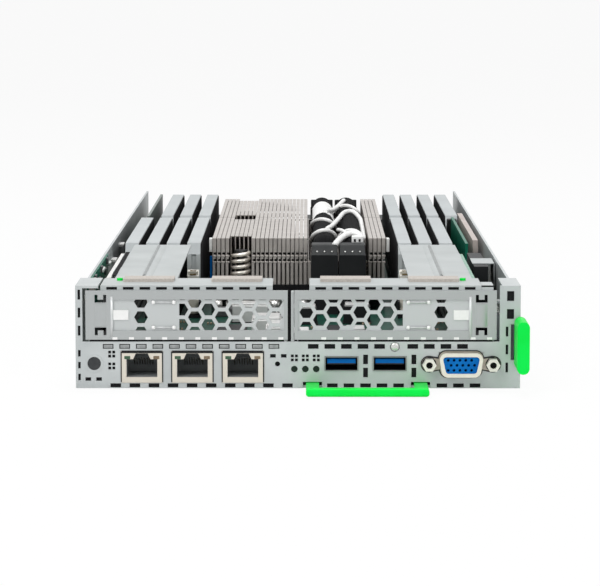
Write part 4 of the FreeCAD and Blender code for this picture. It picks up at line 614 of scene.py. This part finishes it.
# foot, top and width of the three folds at a fin's end, and the feet of the two rows of tongues
end_folds = ((15.8, 27.2, 1.25), (28.3, 30.4, 1.4), (31.4, 37.7, 1.65))
tongue_feet, tongue_height = (26.4, 29.2), 0.8
fin_locks, fin_lips, fin_caps = (bmesh.new() for n in range(3))
for node in sinks:
    dress(fin_metal, node)
    low, high = solid_box(node)
    for n in range(fins):
        in_pocket, in_channel = 4 <= n < 9 or 31 <= n < 36, 22 <= n < 36
        x = low.x + n * fin_pitch
        top = channel_floor if in_channel else high.z
        if not in_channel and n < fins - 1:
            inset = 11.2 if in_pocket else 0.1
            add_block(
                fin_caps, (x + fin_fold - 0.2, low.y + inset, high.z - 0.4),
                (x + fin_pitch - 0.26, high.y - inset, high.z - 0.02))
        if in_pocket:
            continue
        for end, out in ((low.y, 1), (high.y, -1)):
            near, far = sorted((end - out * 0.15, end + out * 0.3))
            for foot, head, width in end_folds:
                if head <= top:
                    add_block(fin_lips, (x, near, foot), (x + width, far, head))
            near, far = sorted((end - out * 0.3, end + out * 2.2))
            for foot in tongue_feet:
                if foot + tongue_height < top:
                    add_block(fin_locks, (x, near, foot), (x + fin_fold, far, foot + tongue_height), 0.2)
piece_from("fin_locks", fin_locks, fin_metal)
piece_from("fin_lips", fin_lips, fin_metal)
piece_from("fin_caps", fin_caps, fin_metal)
low, high = solid_box("front_heat_sink")
# a black strip in front of the heat sink's foot, as painted shade
block_piece(
    "sink_foot_shade", black_foam_and_shade, "black_plastic",
    ((low.x + 2, low.y - 1.4, low.z + 0.2), (4.5, low.y - 0.05, low.z + 4.6), 0.2))

# Moulded guides stand at the outer front corners of the first heat sink.
# The white heads carry a keyed lug, and a blue key marks the left one.
white_nylon = new_finish(
    "white_nylon", (0.8, 0.8, 0.78), 0.0, 0.4, grain=(1600, 0.08, 0.00005),
    tones=(200, (0.75, 0.75, 0.73), (0.85, 0.85, 0.83)))
guide_gap, guide_width = 0.1, 1.5
guides = []
for side in (-1, 1):
    inner = side * (high.x + guide_gap)
    near, far = sorted((inner, inner + side * guide_width))
    guides.append(((near, low.y + 0.5, high.z - 6.5), (far, low.y + 6, high.z - 0.2), 0.4))
block_piece("sink_guides", white_nylon, "tie_white", *guides)
block_piece(
    "sink_guide_key", port_blue, "port_blue",
    ((low.x - 1.3, low.y + 0.5, low.z + 4), (low.x - 0.1, low.y + 5, high.z - 8.5), 0.3))

# Sprung screws hold each heat sink down at its four corners.
# The screws are blackened, and bright wire coils round them show in the pockets between the fins.
dark_steel = new_finish(
    "dark_steel", (0.07, 0.07, 0.072), 0.7, 0.4, tones=(500, (0.05, 0.05, 0.052), (0.1, 0.1, 0.102)))
dress(dark_steel, "heat_sink_screws")
coil_wire = new_finish("coil_wire", (0.92, 0.88, 0.8), 0.45, 0.3, gloss=(900, 0.22, 0.4))
low, high = solid_box("heat_sink_screws")
head_radius, screw_inset, sink_base = 3, 6, 4
sink_coils = bmesh.new()
for node in sinks:
    start, end = solid_box(node)
    for x, top in ((low.x + head_radius, 31.6), (high.x - head_radius, 27.2)):
        for y in (start.y + screw_inset, end.y - screw_inset):
            add_coil(sink_coils, x, y, start.z + sink_base, top, 3.9, 0.9)
piece = piece_from("sink_coils", sink_coils, coil_wire, smooth=True)
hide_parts("heat_sink_springs")

# Sixteen memory sockets stand in two rows on both sides of the heat sinks.
# They are black mouldings, and a clip joins the two rows between facing sockets.
dress(black_plastic, "memory_sockets")
socket_first, socket_pitch = 48.2, 9.43
socket_x = {side: [side * (socket_first + n * socket_pitch) for n in range(4)] for side in (-1, 1)}
front_high, rear_low = solid_box("front_memory_blanks")[1], solid_box("rear_memory_blanks")[0]
block_piece(
    "row_clips", black_plastic, "black_plastic",
    *[((x - 2.4, front_high.y + 0.2, 11.8), (x + 2.4, rear_low.y - 0.2, front_high.z - 1.2), 0.6)
    for x in socket_x[-1] + socket_x[1]])

# A latch at the outer end of each memory socket tips outwards to lift the module.
# It is moulded in an off-white plastic, with a sloped thumb pad painted brighter as painted light, and a groove
# painted dark brown as painted shade.
latch_cream = new_finish(
    "latch_cream", (0.84, 0.79, 0.69), 0.0, 0.45, grain=(2400, 0.06, 0.00005),
    tones=(90, (0.8, 0.75, 0.65), (0.88, 0.83, 0.73)))
# the groove is painted dark brown, as painted shade
groove_shade = new_finish(
    "groove_shade", (0.12, 0.085, 0.035), 0.0, 0.6, 0.2, tones=(700, (0.09, 0.06, 0.025), (0.15, 0.11, 0.05)))
# the pad is painted whiter than the latch, as painted light
pad_highlight = new_finish("pad_highlight", (0.95, 0.92, 0.84), 0.0, 0.45, tones=(200, (0.93, 0.9, 0.82), (0.97, 0.94, 0.87)))
# depth from the latch's outer face and height over its top, round the side of a pad and of its groove
pad_side = ((0.5, -3.0), (0.5, -2.0), (-2.1, 0.6), (-2.4, 0.6), (-2.4, -0.9), (-0.8, -1.6))
groove_side = ((0.6, -1.5), (-1.3, 0.4), (-1.5, 0.25), (0.3, -1.7))
for row, out in (("front", -1), ("rear", 1)):
    for place in [f"{row}_{side}_{n}" for side in ("left", "right") for n in range(1, 5)]:
        dress(latch_cream, f"latch_{place}")
        low, high = solid_box(f"latch_{place}")
        face = low.y if out < 0 else high.y
        middle = (low.x + high.x) / 2
        for kind, finish, outline, ends in (
                ("pad", pad_highlight, pad_side, (low.x - 0.3, high.x + 0.3)),
                ("groove", groove_shade, groove_side, (middle - 1.4, middle + 1.4))):
            mesh = bmesh.new()
            skin(mesh, [[(x, face + out * depth, high.z + rise) for depth, rise in outline] for x in ends])
            piece_from(f"latch_{kind}_{place}", mesh, finish, f"memory_latch_{place}")

# Most memory positions hold a light grey moulded filler that guides the air.
# Each is a blade with bevelled ends and a thin edge that sits in the socket.
# A black sheet on each side of it is painted shade in the gaps between fillers.
filler_grey = new_finish(
    "filler_grey", (0.5, 0.535, 0.54), 0.0, 0.5, 0.3, grain=(2200, 0.06, 0.00005),
    tones=(40, (0.47, 0.5, 0.51), (0.53, 0.565, 0.57)))
side_shade_sheets = bmesh.new()
filler_half, strip_thickness, filler_foot = 3.0, 0.25, 12.4
for node, module_side in (("front_memory_blanks", 1), ("rear_memory_blanks", -1)):
    dress(filler_grey, node)
    low, high = solid_box(node)
    near, far, brow, top = low.y + 0.4, high.y - 0.4, high.z - 5.2, high.z - 0.6
    outline = (
        (near, filler_foot), (far, filler_foot), (far, brow), (far - 2.3, top), (near + 2.3, top), (near, brow))
    # black sheets on the fillers' sides paint the shade in the gaps between them
    for middle in socket_x[-module_side] + socket_x[module_side][:3]:
        for face in (-1, 1):
            skin(
                side_shade_sheets, [[(middle + face * reach, y, z) for y, z in outline]
                for reach in (filler_half, filler_half + strip_thickness)])
piece_from("filler_side_shade", side_shade_sheets, black_foam_and_shade)

# Two positions hold memory modules: a thin board with chips on both faces, the left one under a grey spreader.
# The chips stand clear of the board's faces, so they are told apart by their distance from its middle.
module_mask = new_finish("module_mask", (0.0, 0.12, 0.07), 0.0, 0.4, 0.3)
module_x, board_half = 0.07649, 0.0008  # metres
tree = module_mask.node_tree
split = add_node(tree, "SeparateXYZ", {"Vector": own_place(tree)})
off_board = split.outputs["X"]
for operation, amount in (("ABSOLUTE", 0.0), ("SUBTRACT", module_x), ("ABSOLUTE", 0.0), ("GREATER_THAN", board_half)):
    off_board = add_node(tree, "Math", {0: off_board, 1: amount}, operation=operation).outputs["Value"]
ramp = tint(tree, off_board, (0.0, 0.12, 0.07), (0.016, 0.016, 0.018), 0.4, 0.6)
on_left = add_node(tree, "Math", {0: split.outputs["X"], 1: 0.0}, operation="LESS_THAN")
pick = add_node(
    tree, "Mix", {"Factor": on_left.outputs["Value"], 6: ramp.outputs["Color"], 7: (0.17, 0.2, 0.185, 1.0)},
    data_type="RGBA")
tree.links.new(pick.outputs[2], tree.nodes["Principled BSDF"].inputs["Base Color"])
emboss(tree, cloud(tree, 900, detail=2), 0.1, 0.0001)
dress(module_mask, "memory_modules")

# Two thick bundles in black braided sleeves join the plugs at either end of the heat sinks.
# Each plug has a sloped hood that turns the bundle up, with three bright test points in its face.
dress(black_plastic, "cable_plugs")


def weave(finish, count, depth):
    """Crossed threads, counted per metre."""
    tree = finish.node_tree
    waves = [
        add_node(tree, "TexWave", {"Vector": own_place(tree), "Scale": count}, bands_direction=direction)
        for direction in ("X", "Y")]
    join = add_node(tree, "Math", {n: wave.outputs["Fac"] for n, wave in enumerate(waves)}, operation="MAXIMUM")
    emboss(tree, join.outputs["Value"], 0.4, depth)


sleeve = new_finish(
    "braided_sleeve", (0.006, 0.006, 0.007), 0.0, 0.8, 0.05,
    tones=(500, (0.004, 0.004, 0.0045), (0.011, 0.011, 0.012)))
weave(sleeve, 420, 0.0004)
dress(sleeve, "cable_bundles")
hood_grey = new_finish(
    "hood_grey", (0.022, 0.024, 0.025), 0.0, 0.5, 0.25, grain=(3200, 0.1, 0.00005),
    tones=(120, (0.017, 0.019, 0.02), (0.028, 0.03, 0.031)))
plug_low, plug_high = solid_box("cable_plugs")
plug_width, cable_gap, cable_z, cable_radius, point_pitch = 12.4, 12.9, 33.7, 5.5, 3.4
cable_x = [plug_low.x + plug_width / 2 + n * cable_gap for n in range(2)]
# foot of the slope, its brow, the top and the back of the hood, as depth and height over the plug
hood_side = ((0, -1.5), (4.5, 4.5), (10.5, 5.0), (10.5, -1.5))
hood_half = plug_width / 2 - 0.3
hoods, test_points = bmesh.new(), bmesh.new()
for middle in cable_x:
    for face, out in ((plug_low.y, 1), (plug_high.y, -1)):
        skin(
            hoods, [[(x, face + out * back, plug_high.z + rise) for back, rise in hood_side]
            for x in (middle - hood_half, middle + hood_half)])
        for k in (-1, 0, 1):
            add_dome(
                test_points, (middle + k * point_pitch, face + out * 2.2, plug_high.z + 1.4), (0, -out * 0.8, 0.6),
                0.45, 0.4, 10)
soften(hoods, hoods.edges, 0.5 * MM)
piece_from("plug_hoods", hoods, hood_grey)
piece_from("plug_test_points", test_points, bright_steel, smooth=True)

# White nylon ties and loose straps hold the bundles, and a strip of white tape is wound round the left one.
# One long strap runs from a square head near the plugs, back along the right bundle and over both.
tie_nylon = new_finish(
    "tie_nylon", (0.95, 0.95, 0.94), 0.0, 0.4, grain=(1600, 0.08, 0.00005),
    tones=(300, (0.92, 0.92, 0.91), (0.97, 0.97, 0.96)))
# cable, and how far along the node the tie lies at its top, its left and its right
tie_places = ((0, -58, -48, -43), (0, -2, 20, 8), (1, 74, 94, 74), (1, -58, -52, -56))
tie_reach, tie_radius = cable_radius + 0.5, 1.05
hoops = bmesh.new()
for cable, at_top, at_left, at_right in tie_places:
    middle = (at_left + at_right) / 2
    loop = []
    for c, s in circle(36):
        height = max(cable_z + tie_reach * s, channel_floor + 1.1)
        along = middle + (at_right - at_left) / 2 * c + (at_top - middle) * s
        loop.append((cable_x[cable] + tie_reach * c, along, height))
    add_tube(hoops, loop, tie_radius, 8, True)
piece = piece_from("tie_hoops", hoops, tie_nylon, smooth=True)
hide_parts("cable_ties")


def smooth_run(corners, steps=6):
    """Points along a soft curve through a row of corners."""
    points = [Vector(corner) for corner in corners]
    padded = [2 * points[0] - points[1]] + points + [2 * points[-1] - points[-2]]
    run = []
    for a, b, c, d in zip(padded, padded[1:], padded[2:], padded[3:]):
        for k in range(steps):
            t = k / steps
            run.append(0.5 * (2 * b + t * (c - a) + t * t * (2 * a - 5 * b + 4 * c - d)
                              + t * t * t * (3 * b - a - 3 * c + d)))
    return run + [points[-1]]


straps = bmesh.new()
long_strap = (
    (28.0, -82, 38.2), (30.0, -66, 36.8), (30.6, -30, 35.4), (30.7, 4, 35.6), (30.0, 26, 37.6), (26.6, 39, 39.9),
    (22.4, 34, 39.9), (19.2, 10, 38.9), (15.8, -24, 38.8), (13.2, -50, 39.8))
front_strap = (
    (16.2, -91.5, 36.0), (18.0, -86, 37.6), (20.6, -80, 39.2), (24.2, -76, 40.1), (27.4, -78, 39.5),
    (29.0, -82, 37.8))
back_strap = ((13.0, 44, 39.9), (16.6, 58, 39.0), (20.0, 84, 38.9), (23.0, 106, 39.8))
short_tail = ((21.5, -75, 40.2), (20.0, -66, 40.4), (18.2, -60, 40.2))
for corners, radius in ((long_strap, 1.15), (front_strap, 1.45), (back_strap, 1.15), (short_tail, 0.9)):
    add_tube(straps, smooth_run(corners), radius, 10)
tie_head = Vector((26.9, -83.5, 38.0))
add_block(straps, tie_head - Vector((2.7, 2.2, 2)), tie_head + Vector((2.7, 2.2, 1.8)), 0.6)
piece_from("tie_straps", straps, tie_nylon, smooth=True)
# black blocks in the tie head's slots are painted shade
block_piece(
    "tie_head_slot_shade", black_foam_and_shade, "black_plastic",
    *[(tie_head + Vector((shift - 0.5, -2.35, -0.9)), tie_head + Vector((shift + 0.5, -1.8, 0.4)), 0.1)
    for shift in (-1.2, 1.0)])
tape = bmesh.new()
random.seed(5)
steps, turns = 24, 18
tape_start, tape_length, tape_slant, tape_lift, tape_ripple = 32, 66, 6, 0.3, 0.18
grid = []
for n in range(steps + 1):
    line = []
    for k in range(turns + 1):
        share = k / turns
        angle = math.radians(8 + 150 * share)
        ragged = random.uniform(-2, 2) if n in (0, steps) else 0.0
        y = tape_start + tape_length * n / steps + ragged + tape_slant * math.sin(3 * share)
        reach = cable_radius + tape_lift + tape_ripple * math.sin(2.2 * n + 3 * share)
        line.append((reach * math.cos(angle), y, reach * math.sin(angle)))
    grid.append(line)
outer, inner = [
    [[tape.verts.new(Vector((cable_x[0] + shrink * x, y, cable_z + shrink * z)) * MM) for x, y, z in line]
    for line in grid] for shrink in (1, 0.95)]
for n in range(steps):
    for k in range(turns):
        tape.faces.new((outer[n][k], outer[n][k + 1], outer[n + 1][k + 1], outer[n + 1][k]))
        tape.faces.new((inner[n][k], inner[n + 1][k], inner[n + 1][k + 1], inner[n][k + 1]))
    for k in (0, turns):
        tape.faces.new((outer[n][k], outer[n + 1][k], inner[n + 1][k], inner[n][k]))
for k in range(turns):
    for n in (0, steps):
        tape.faces.new((outer[n][k], outer[n][k + 1], inner[n][k + 1], inner[n][k]))
piece_from("tape_wrap", tape, tie_nylon, smooth=True)

# Riser cards stand in black slots on the board, and each carries a slot for a flat card.
# They are green boards like the mainboard; the left one's top edge has a white guide, the right one's is bare.
riser_mask = new_finish("riser_mask", (0.0, 0.12, 0.07), 0.0, 0.4, 0.3)
traces(riser_mask, 300, (0.0, 0.08, 0.05), (0.006, 0.16, 0.1))
dress(riser_mask, "riser_cards")
dress(black_plastic, "riser_connectors")
bare_edge = new_finish(
    "bare_edge", (0.3, 0.46, 0.38), 0.0, 0.6, 0.2, tones=(700, (0.24, 0.4, 0.32), (0.37, 0.53, 0.45)))
low, high = solid_box("riser_cards")
riser_thickness = 1.6
block_piece(
    "left_riser_edge", white_nylon, "tie_white",
    ((low.x - 0.2, low.y, high.z), (low.x + riser_thickness + 0.2, high.y, high.z + 0.6), 0.2))
block_piece(
    "right_riser_edge", bare_edge, "board_green",
    ((high.x - riser_thickness - 0.1, low.y, high.z), (high.x + 0.1, high.y, high.z + 0.4), 0.1))

# A slim circuit strip is clipped to the left wall beside the riser card, with a row of small soldered parts.
# White nylon clips hold it, and a warm grey cap covers its front end.
wall_face, strip_face = -85.15, -84.5
block_piece("wall_strip", riser_mask, "board_green", ((wall_face - 0.05, -256, 25.2), (strip_face, -142, 37.4), 0.1))
strip_parts = [(-246 + n * 11.2, 27.5 + 3.5 * (n % 3)) for n in range(9)]
block_piece(
    "wall_strip_chips", coil_grey, "black_plastic",
    *[((strip_face - 0.1, y, rise), (strip_face + 0.9, y + 4.5, rise + 2.6), 0.2) for y, rise in strip_parts])
block_piece(
    "wall_strip_clips", white_nylon, "tie_white",
    *[((wall_face - 0.05, y, rise), (wall_face + 2.2, y + 10, rise + 1.4), 0.4)
    for y, rise in ((-190, 34.5), (-152, 33.0), (-114, 30.5), (-60, 32.0))])
cap_grey = new_finish(
    "cap_grey", (0.42, 0.37, 0.36), 0.0, 0.5, 0.3, tones=(300, (0.36, 0.315, 0.305), (0.48, 0.43, 0.42)))
block_piece(
    "wall_strip_cap", cap_grey, "baffle_film",
    ((strip_face - 0.1, -255.5, 31.8), (strip_face + 1.2, -230, 37.0), 0.4))

# A thin steel cage hangs over each card bay and carries the riser card.
# A pressed bead runs along its plate with a darker ridge on it as painted shade, and a black strip behind the contact
# slots in its lip is painted shade.
cage_zinc = new_finish(
    "cage_sheet", (0.43, 0.46, 0.46), 0.4, 0.42, grain=(1500, 0.12, 0.0001, (1, 0.08, 1)),
    tones=(45, (0.39, 0.42, 0.42), (0.47, 0.5, 0.5)))
# a darker copy of the cage steel for the ridge, as painted shade along the bead
ridge_shade = new_finish(
    "ridge_shade", (0.26, 0.28, 0.28), 0.4, 0.42, tones=(200, (0.22, 0.24, 0.24), (0.31, 0.33, 0.33)))
lip_half, ridge_half, ridge_rise, ridge_foot, plate_rise = 32.8, 0.7, 0.5, -1.1, 1.2
ridge_side = ((-ridge_half, ridge_foot), (ridge_half, ridge_foot), (ridge_half, 0), (0, ridge_rise), (-ridge_half, 0))
lip_shade, ridges = [], bmesh.new()
for hand, ridge_x in (("left", -62.8), ("right", 58.3)):
    dress(cage_zinc, f"{hand}_riser_cage")
    low, high = solid_box(f"{hand}_riser_cage")
    centre = sum(corner.x for corner in solid_box(f"{hand}_slot_cover")) / 2
    # a black strip behind the lip's contact slots is painted shade
    lip_shade.append(
        ((centre - lip_half, low.y + 0.65, high.z - 1.9), (centre + lip_half, low.y + 1.1, high.z - 0.62), 0.1))
    skin(
        ridges, [[(ridge_x + reach, y, high.z - plate_rise + rise) for reach, rise in ridge_side]
        for y in (low.y + 46, high.y - 12)])
block_piece("cage_lip_shade", black_foam_and_shade, "black_plastic", *lip_shade)
cage_sheet, lip_depth, lip_height = 0.6, 12.2, 3.4
lip_start, lip_end = high.x - 0.1, high.x + 4.6
block_piece(
    "lip_end", cage_zinc, "zinc_steel",
    ((lip_start, low.y, high.z - cage_sheet), (lip_end, low.y + lip_depth, high.z)),
    ((lip_start, low.y, high.z - lip_height), (lip_end, low.y + cage_sheet, high.z)))
low, high = solid_box("left_riser_cage")
plate_top = high.z - 2
block_piece(
    "plate_seal", black_foam_and_shade, "black_plastic",
    ((low.x + 0.9, -238, plate_top - 0.1), (low.x + 2.7, -146, plate_top + 0.2), 0.1))
piece_from("plate_ridges", ridges, ridge_shade)

# Strips of conductive cloth over foam sit on the cages and touch the lid of the bay.
# The cloth is a fine grey-pink weave.
gasket_cloth = new_finish("gasket_cloth", (0.5, 0.46, 0.42), 0.1, 0.65)
tint(gasket_cloth.node_tree, cloud(gasket_cloth.node_tree, 1400, detail=2), (0.44, 0.4, 0.365), (0.56, 0.52, 0.475))
weave(gasket_cloth, 900, 0.0001)
dress(gasket_cloth, "cage_gaskets")

# Two small green touch points mark where the cage is held to lift it out.
# They are moulded in the same green as the handle.
dress(grip_green, "cage_touch_pins")

# Each card bay is closed by a pressed steel blank with a bead, a sunk field of hexagon vents and two lances.
# Spring fingers under its foot press on the panel's sill over a dark strip that is painted shade, and a post stands
# between the bays.
cover_zinc = new_finish(
    "cover_sheet", (0.47, 0.495, 0.495), 0.45, 0.38, gloss=(140, 0.3, 0.46), grain=(1800, 0.1, 0.0001, (0.1, 1, 1)))
# the blank's front border is painted darker than its sunk field, as painted shade
deep_colour(cover_zinc, panel_y + 0.5, (0.41, 0.43, 0.43), (0.52, 0.545, 0.545))
# near-white steel for painted highlights on the lance ends, the bumps and the slot flags
highlight_steel = new_finish(
    "highlight_steel", (0.86, 0.86, 0.85), 0.15, 0.35, grain=(900, 0.1, 0.0001, (1, 1, 0.1)),
    tones=(300, (0.82, 0.82, 0.81), (0.9, 0.9, 0.89)))
lance_grey = new_finish(
    "lance_grey", (0.5, 0.515, 0.515), 0.3, 0.4, tones=(400, (0.45, 0.465, 0.465), (0.55, 0.565, 0.565)))
# a lighter copy of the blank's steel for the bead, as a painted highlight
bead_highlight = new_finish(
    "bead_highlight", (0.66, 0.68, 0.68), 0.3, 0.36, tones=(300, (0.61, 0.63, 0.63), (0.71, 0.73, 0.73)))
# a darker copy of the blank's steel for the fingers, as painted shade
finger_shade = new_finish(
    "finger_shade", (0.3, 0.31, 0.31), 0.5, 0.4, tones=(600, (0.22, 0.23, 0.23), (0.36, 0.375, 0.375)))
sill_top, finger_first, finger_pitch, finger_count = 18.4, -76.2, 6.5, 11
cover_middle, lance_spread, lance_half, lance_shift = 28.9, 5.0, 4.0, 9.0
bead_inset, bead_foot, bead_top, bumps_in_row, bump_lead = 10.3, 19.8, 36.2, 11, 10.5
sill_shade = []
lances, lance_ends, bumps, beads = (bmesh.new() for n in range(4))
for node, out in (("left_slot_cover", -1), ("right_slot_cover", 1)):
    dress(cover_zinc, node)
    low, high = solid_box(node)
    # a black strip along the sill under the blank's foot is painted shade
    sill_shade.append(
        ((low.x + 1.5, panel_y + 0.3, sill_top + 0.05), (high.x - 1.5, panel_y + 0.95, sill_top + 0.75), 0.1))
    middle = (low.x + high.x) / 2 + out * lance_shift
    for rise in (-lance_spread, lance_spread):
        bar = [(middle + side * lance_half, panel_y + 0.6, cover_middle + rise) for side in (-1, 0, 1)]
        add_tube(lances, bar, 0.5, 10)
        for end in (bar[0], bar[-1]):
            add_dome(lance_ends, end, (0, -1, 0), 0.85, 0.7, 14)
    edge = low.x if out < 0 else high.x
    add_tube(
        beads, [(edge - out * bead_inset, panel_y + 0.3, z) for z in (bead_foot, cover_middle, bead_top)], 0.6, 12)
    for n in range(bumps_in_row):
        x = low.x + bump_lead + n * finger_pitch
        if x + 2.2 < high.x:
            add_block(bumps, (x, panel_y - 0.2, sill_top + 0.8), (x + 2, panel_y + 0.1, sill_top + 1.8), 0.2)
block_piece("sill_shade", black_foam_and_shade, "black_plastic", *sill_shade)
piece_from("cover_lances", lances, lance_grey, smooth=True)
piece_from("cover_lance_ends", lance_ends, highlight_steel, smooth=True)
piece_from("cover_bumps", bumps, highlight_steel)
piece_from("cover_beads", beads, bead_highlight, smooth=True)
left_end, right_start = solid_box("left_slot_cover")[1].x, solid_box("right_slot_cover")[0].x
post_start, post_back, post_top = right_start - 1.3, panel_y + 2, 38.4
block_piece(
    "bay_post", cover_zinc, "zinc_steel",
    ((post_start, panel_y + 0.5, sill_top), (right_start - 0.1, post_back, post_top), 0.2))
# a black strip behind the gap between the blanks is painted shade
block_piece(
    "bay_post_shade", black_foam_and_shade, "black_plastic",
    ((left_end - 0.1, panel_y + 1.4, sill_top), (post_start, post_back, post_top), 0.1))
finger_x = [finger_first + n * finger_pitch for n in range(finger_count)]
block_piece(
    "cover_fingers", finger_shade, "zinc_steel",
    *[((x, panel_y - 0.1, sill_top - 2.6), (x + 3.6, panel_y + 0.6, sill_top - 1.2), 0.4) for x in finger_x])

# A flag folded out of each blank's outer end takes the card clip.
# It is the same steel, painted near white as a painted highlight.
dress(highlight_steel, "slot_tabs")

# Black blocks and a warm grey film along the walls keep the air among the memory sockets.
# A bent steel strap holds the right block down.
dress(black_plastic, "air_blocks")
film = new_finish("baffle_film", (0.5, 0.43, 0.4), 0.0, 0.5, tones=(60, (0.45, 0.39, 0.36), (0.55, 0.48, 0.45)))
dress(film, "side_baffle")
low, high = solid_box("air_blocks")
strap_sheet, strap_end = 0.4, high.x + 3.4
strap_near, strap_far, strap_top = low.y + 10, low.y + 30, high.z + strap_sheet
block_piece(
    "block_strap", cage_zinc, "zinc_steel",
    ((high.x - 6.2, strap_near, high.z), (strap_end, strap_far, strap_top), 0.1),
    ((strap_end - strap_sheet, strap_near, high.z - 10), (strap_end, strap_far, strap_top), 0.1))

# The dock connectors at the rear feed power and signals from the enclosure.
# They are black mouldings with gold blades in each cell.
dress(black_plastic, "dock_connectors")
low, high = solid_box("dock_connectors")
cell_pitch, cell_width = 9, 7
blade_x = []
for start, width, cells in ((low.x, 44, 4), (high.x - 58, 58, 6)):
    margin = (width - cell_pitch * (cells - 1) - cell_width) / 2
    blade_x += [start + margin + n * cell_pitch + cell_width * (k + 0.5) / 3 for n in range(cells) for k in range(3)]
block_piece(
    "dock_blades", gold, "bright_steel",
    *[((x - 0.6, high.y - 2.6, low.z + 3.5), (x + 0.6, high.y - 0.4, low.z + 7.5), 0.1) for x in blade_x])

# The floor is a plain pale studio sheet and the light is broad and soft.
# The camera stands low in front of the panel, with a long lens.
floor_paper = new_finish("floor_paper", (0.9, 0.9, 0.9), 0.0, 0.9, 0.1)
tree = floor_paper.node_tree
glow = add_node(tree, "Emission", {"Color": (1, 1, 1, 1), "Strength": 1.0})
path = add_node(tree, "LightPath", {})
seen = add_node(tree, "MapRange", {"Value": path.outputs["Is Camera Ray"], "To Max": 0.93})
blend = add_node(
    tree, "MixShader", {"Fac": seen.outputs["Result"], 2: glow.outputs["Emission"],
    1: tree.nodes["Principled BSDF"].outputs["BSDF"]})
tree.links.new(blend.outputs["Shader"], tree.nodes["Material Output"].inputs["Surface"])
sheet = bmesh.new()
bmesh.ops.create_grid(
    sheet, x_segments=1, y_segments=1, size=40.0, matrix=Matrix.Translation((0, 0, cad_box[0][2] - 0.0003)))
floor = new_object("floor", sheet, floor_paper)

world = bpy.data.worlds.new("studio")
bpy.context.scene.world = world
world.use_nodes = True
tree = world.node_tree
path = add_node(tree, "LightPath", {})
ray = path.outputs["Is Camera Ray"]
for kind in ("Is Transmission Ray", "Is Glossy Ray"):
    ray = add_node(tree, "Math", {0: ray, 1: path.outputs[kind]}, operation="MAXIMUM").outputs["Value"]
level = add_node(tree, "MapRange", {"Value": ray, "To Min": 0.26, "To Max": 1.0})
sky = tree.nodes["Background"]
sky.inputs["Color"].default_value = (1, 1, 1, 1)
tree.links.new(level.outputs["Result"], sky.inputs["Strength"])

# name, place, size and power of each lamp, in metres and watts
lamps = (
    ("key", (-0.7, -1.3, 1.1), 0.9, 13.5), ("fill", (1.0, -1.2, 0.8), 0.9, 5.5), ("top", (0.0, 0.1, 1.4), 0.7, 10.5))
lit_point = Vector((0, -0.1, 0))
for name, where, size, power in lamps:
    lamp = bpy.data.lights.new(name, "AREA")
    lamp.shape = "SQUARE"
    lamp.size = size
    lamp.energy = power
    stand = bpy.data.objects.new(name, lamp)
    stand.location = where
    stand.rotation_euler = (lit_point - Vector(where)).to_track_quat("-Z", "Y").to_euler()
    bpy.context.scene.collection.objects.link(stand)

lens = bpy.data.cameras.new("camera")
lens.sensor_width = 36.0
lens.lens = 170.0
lens.clip_start = 0.05
camera = bpy.data.objects.new("camera", lens)
camera.location = (0.0035, panel_y * MM - 1.1, 0.1688)
camera.rotation_euler = (math.radians(90 - 6.8), 0, math.radians(0.14))
bpy.context.scene.collection.objects.link(camera)
bpy.context.scene.camera = camera
bpy.context.scene.view_settings.view_transform = "Standard"
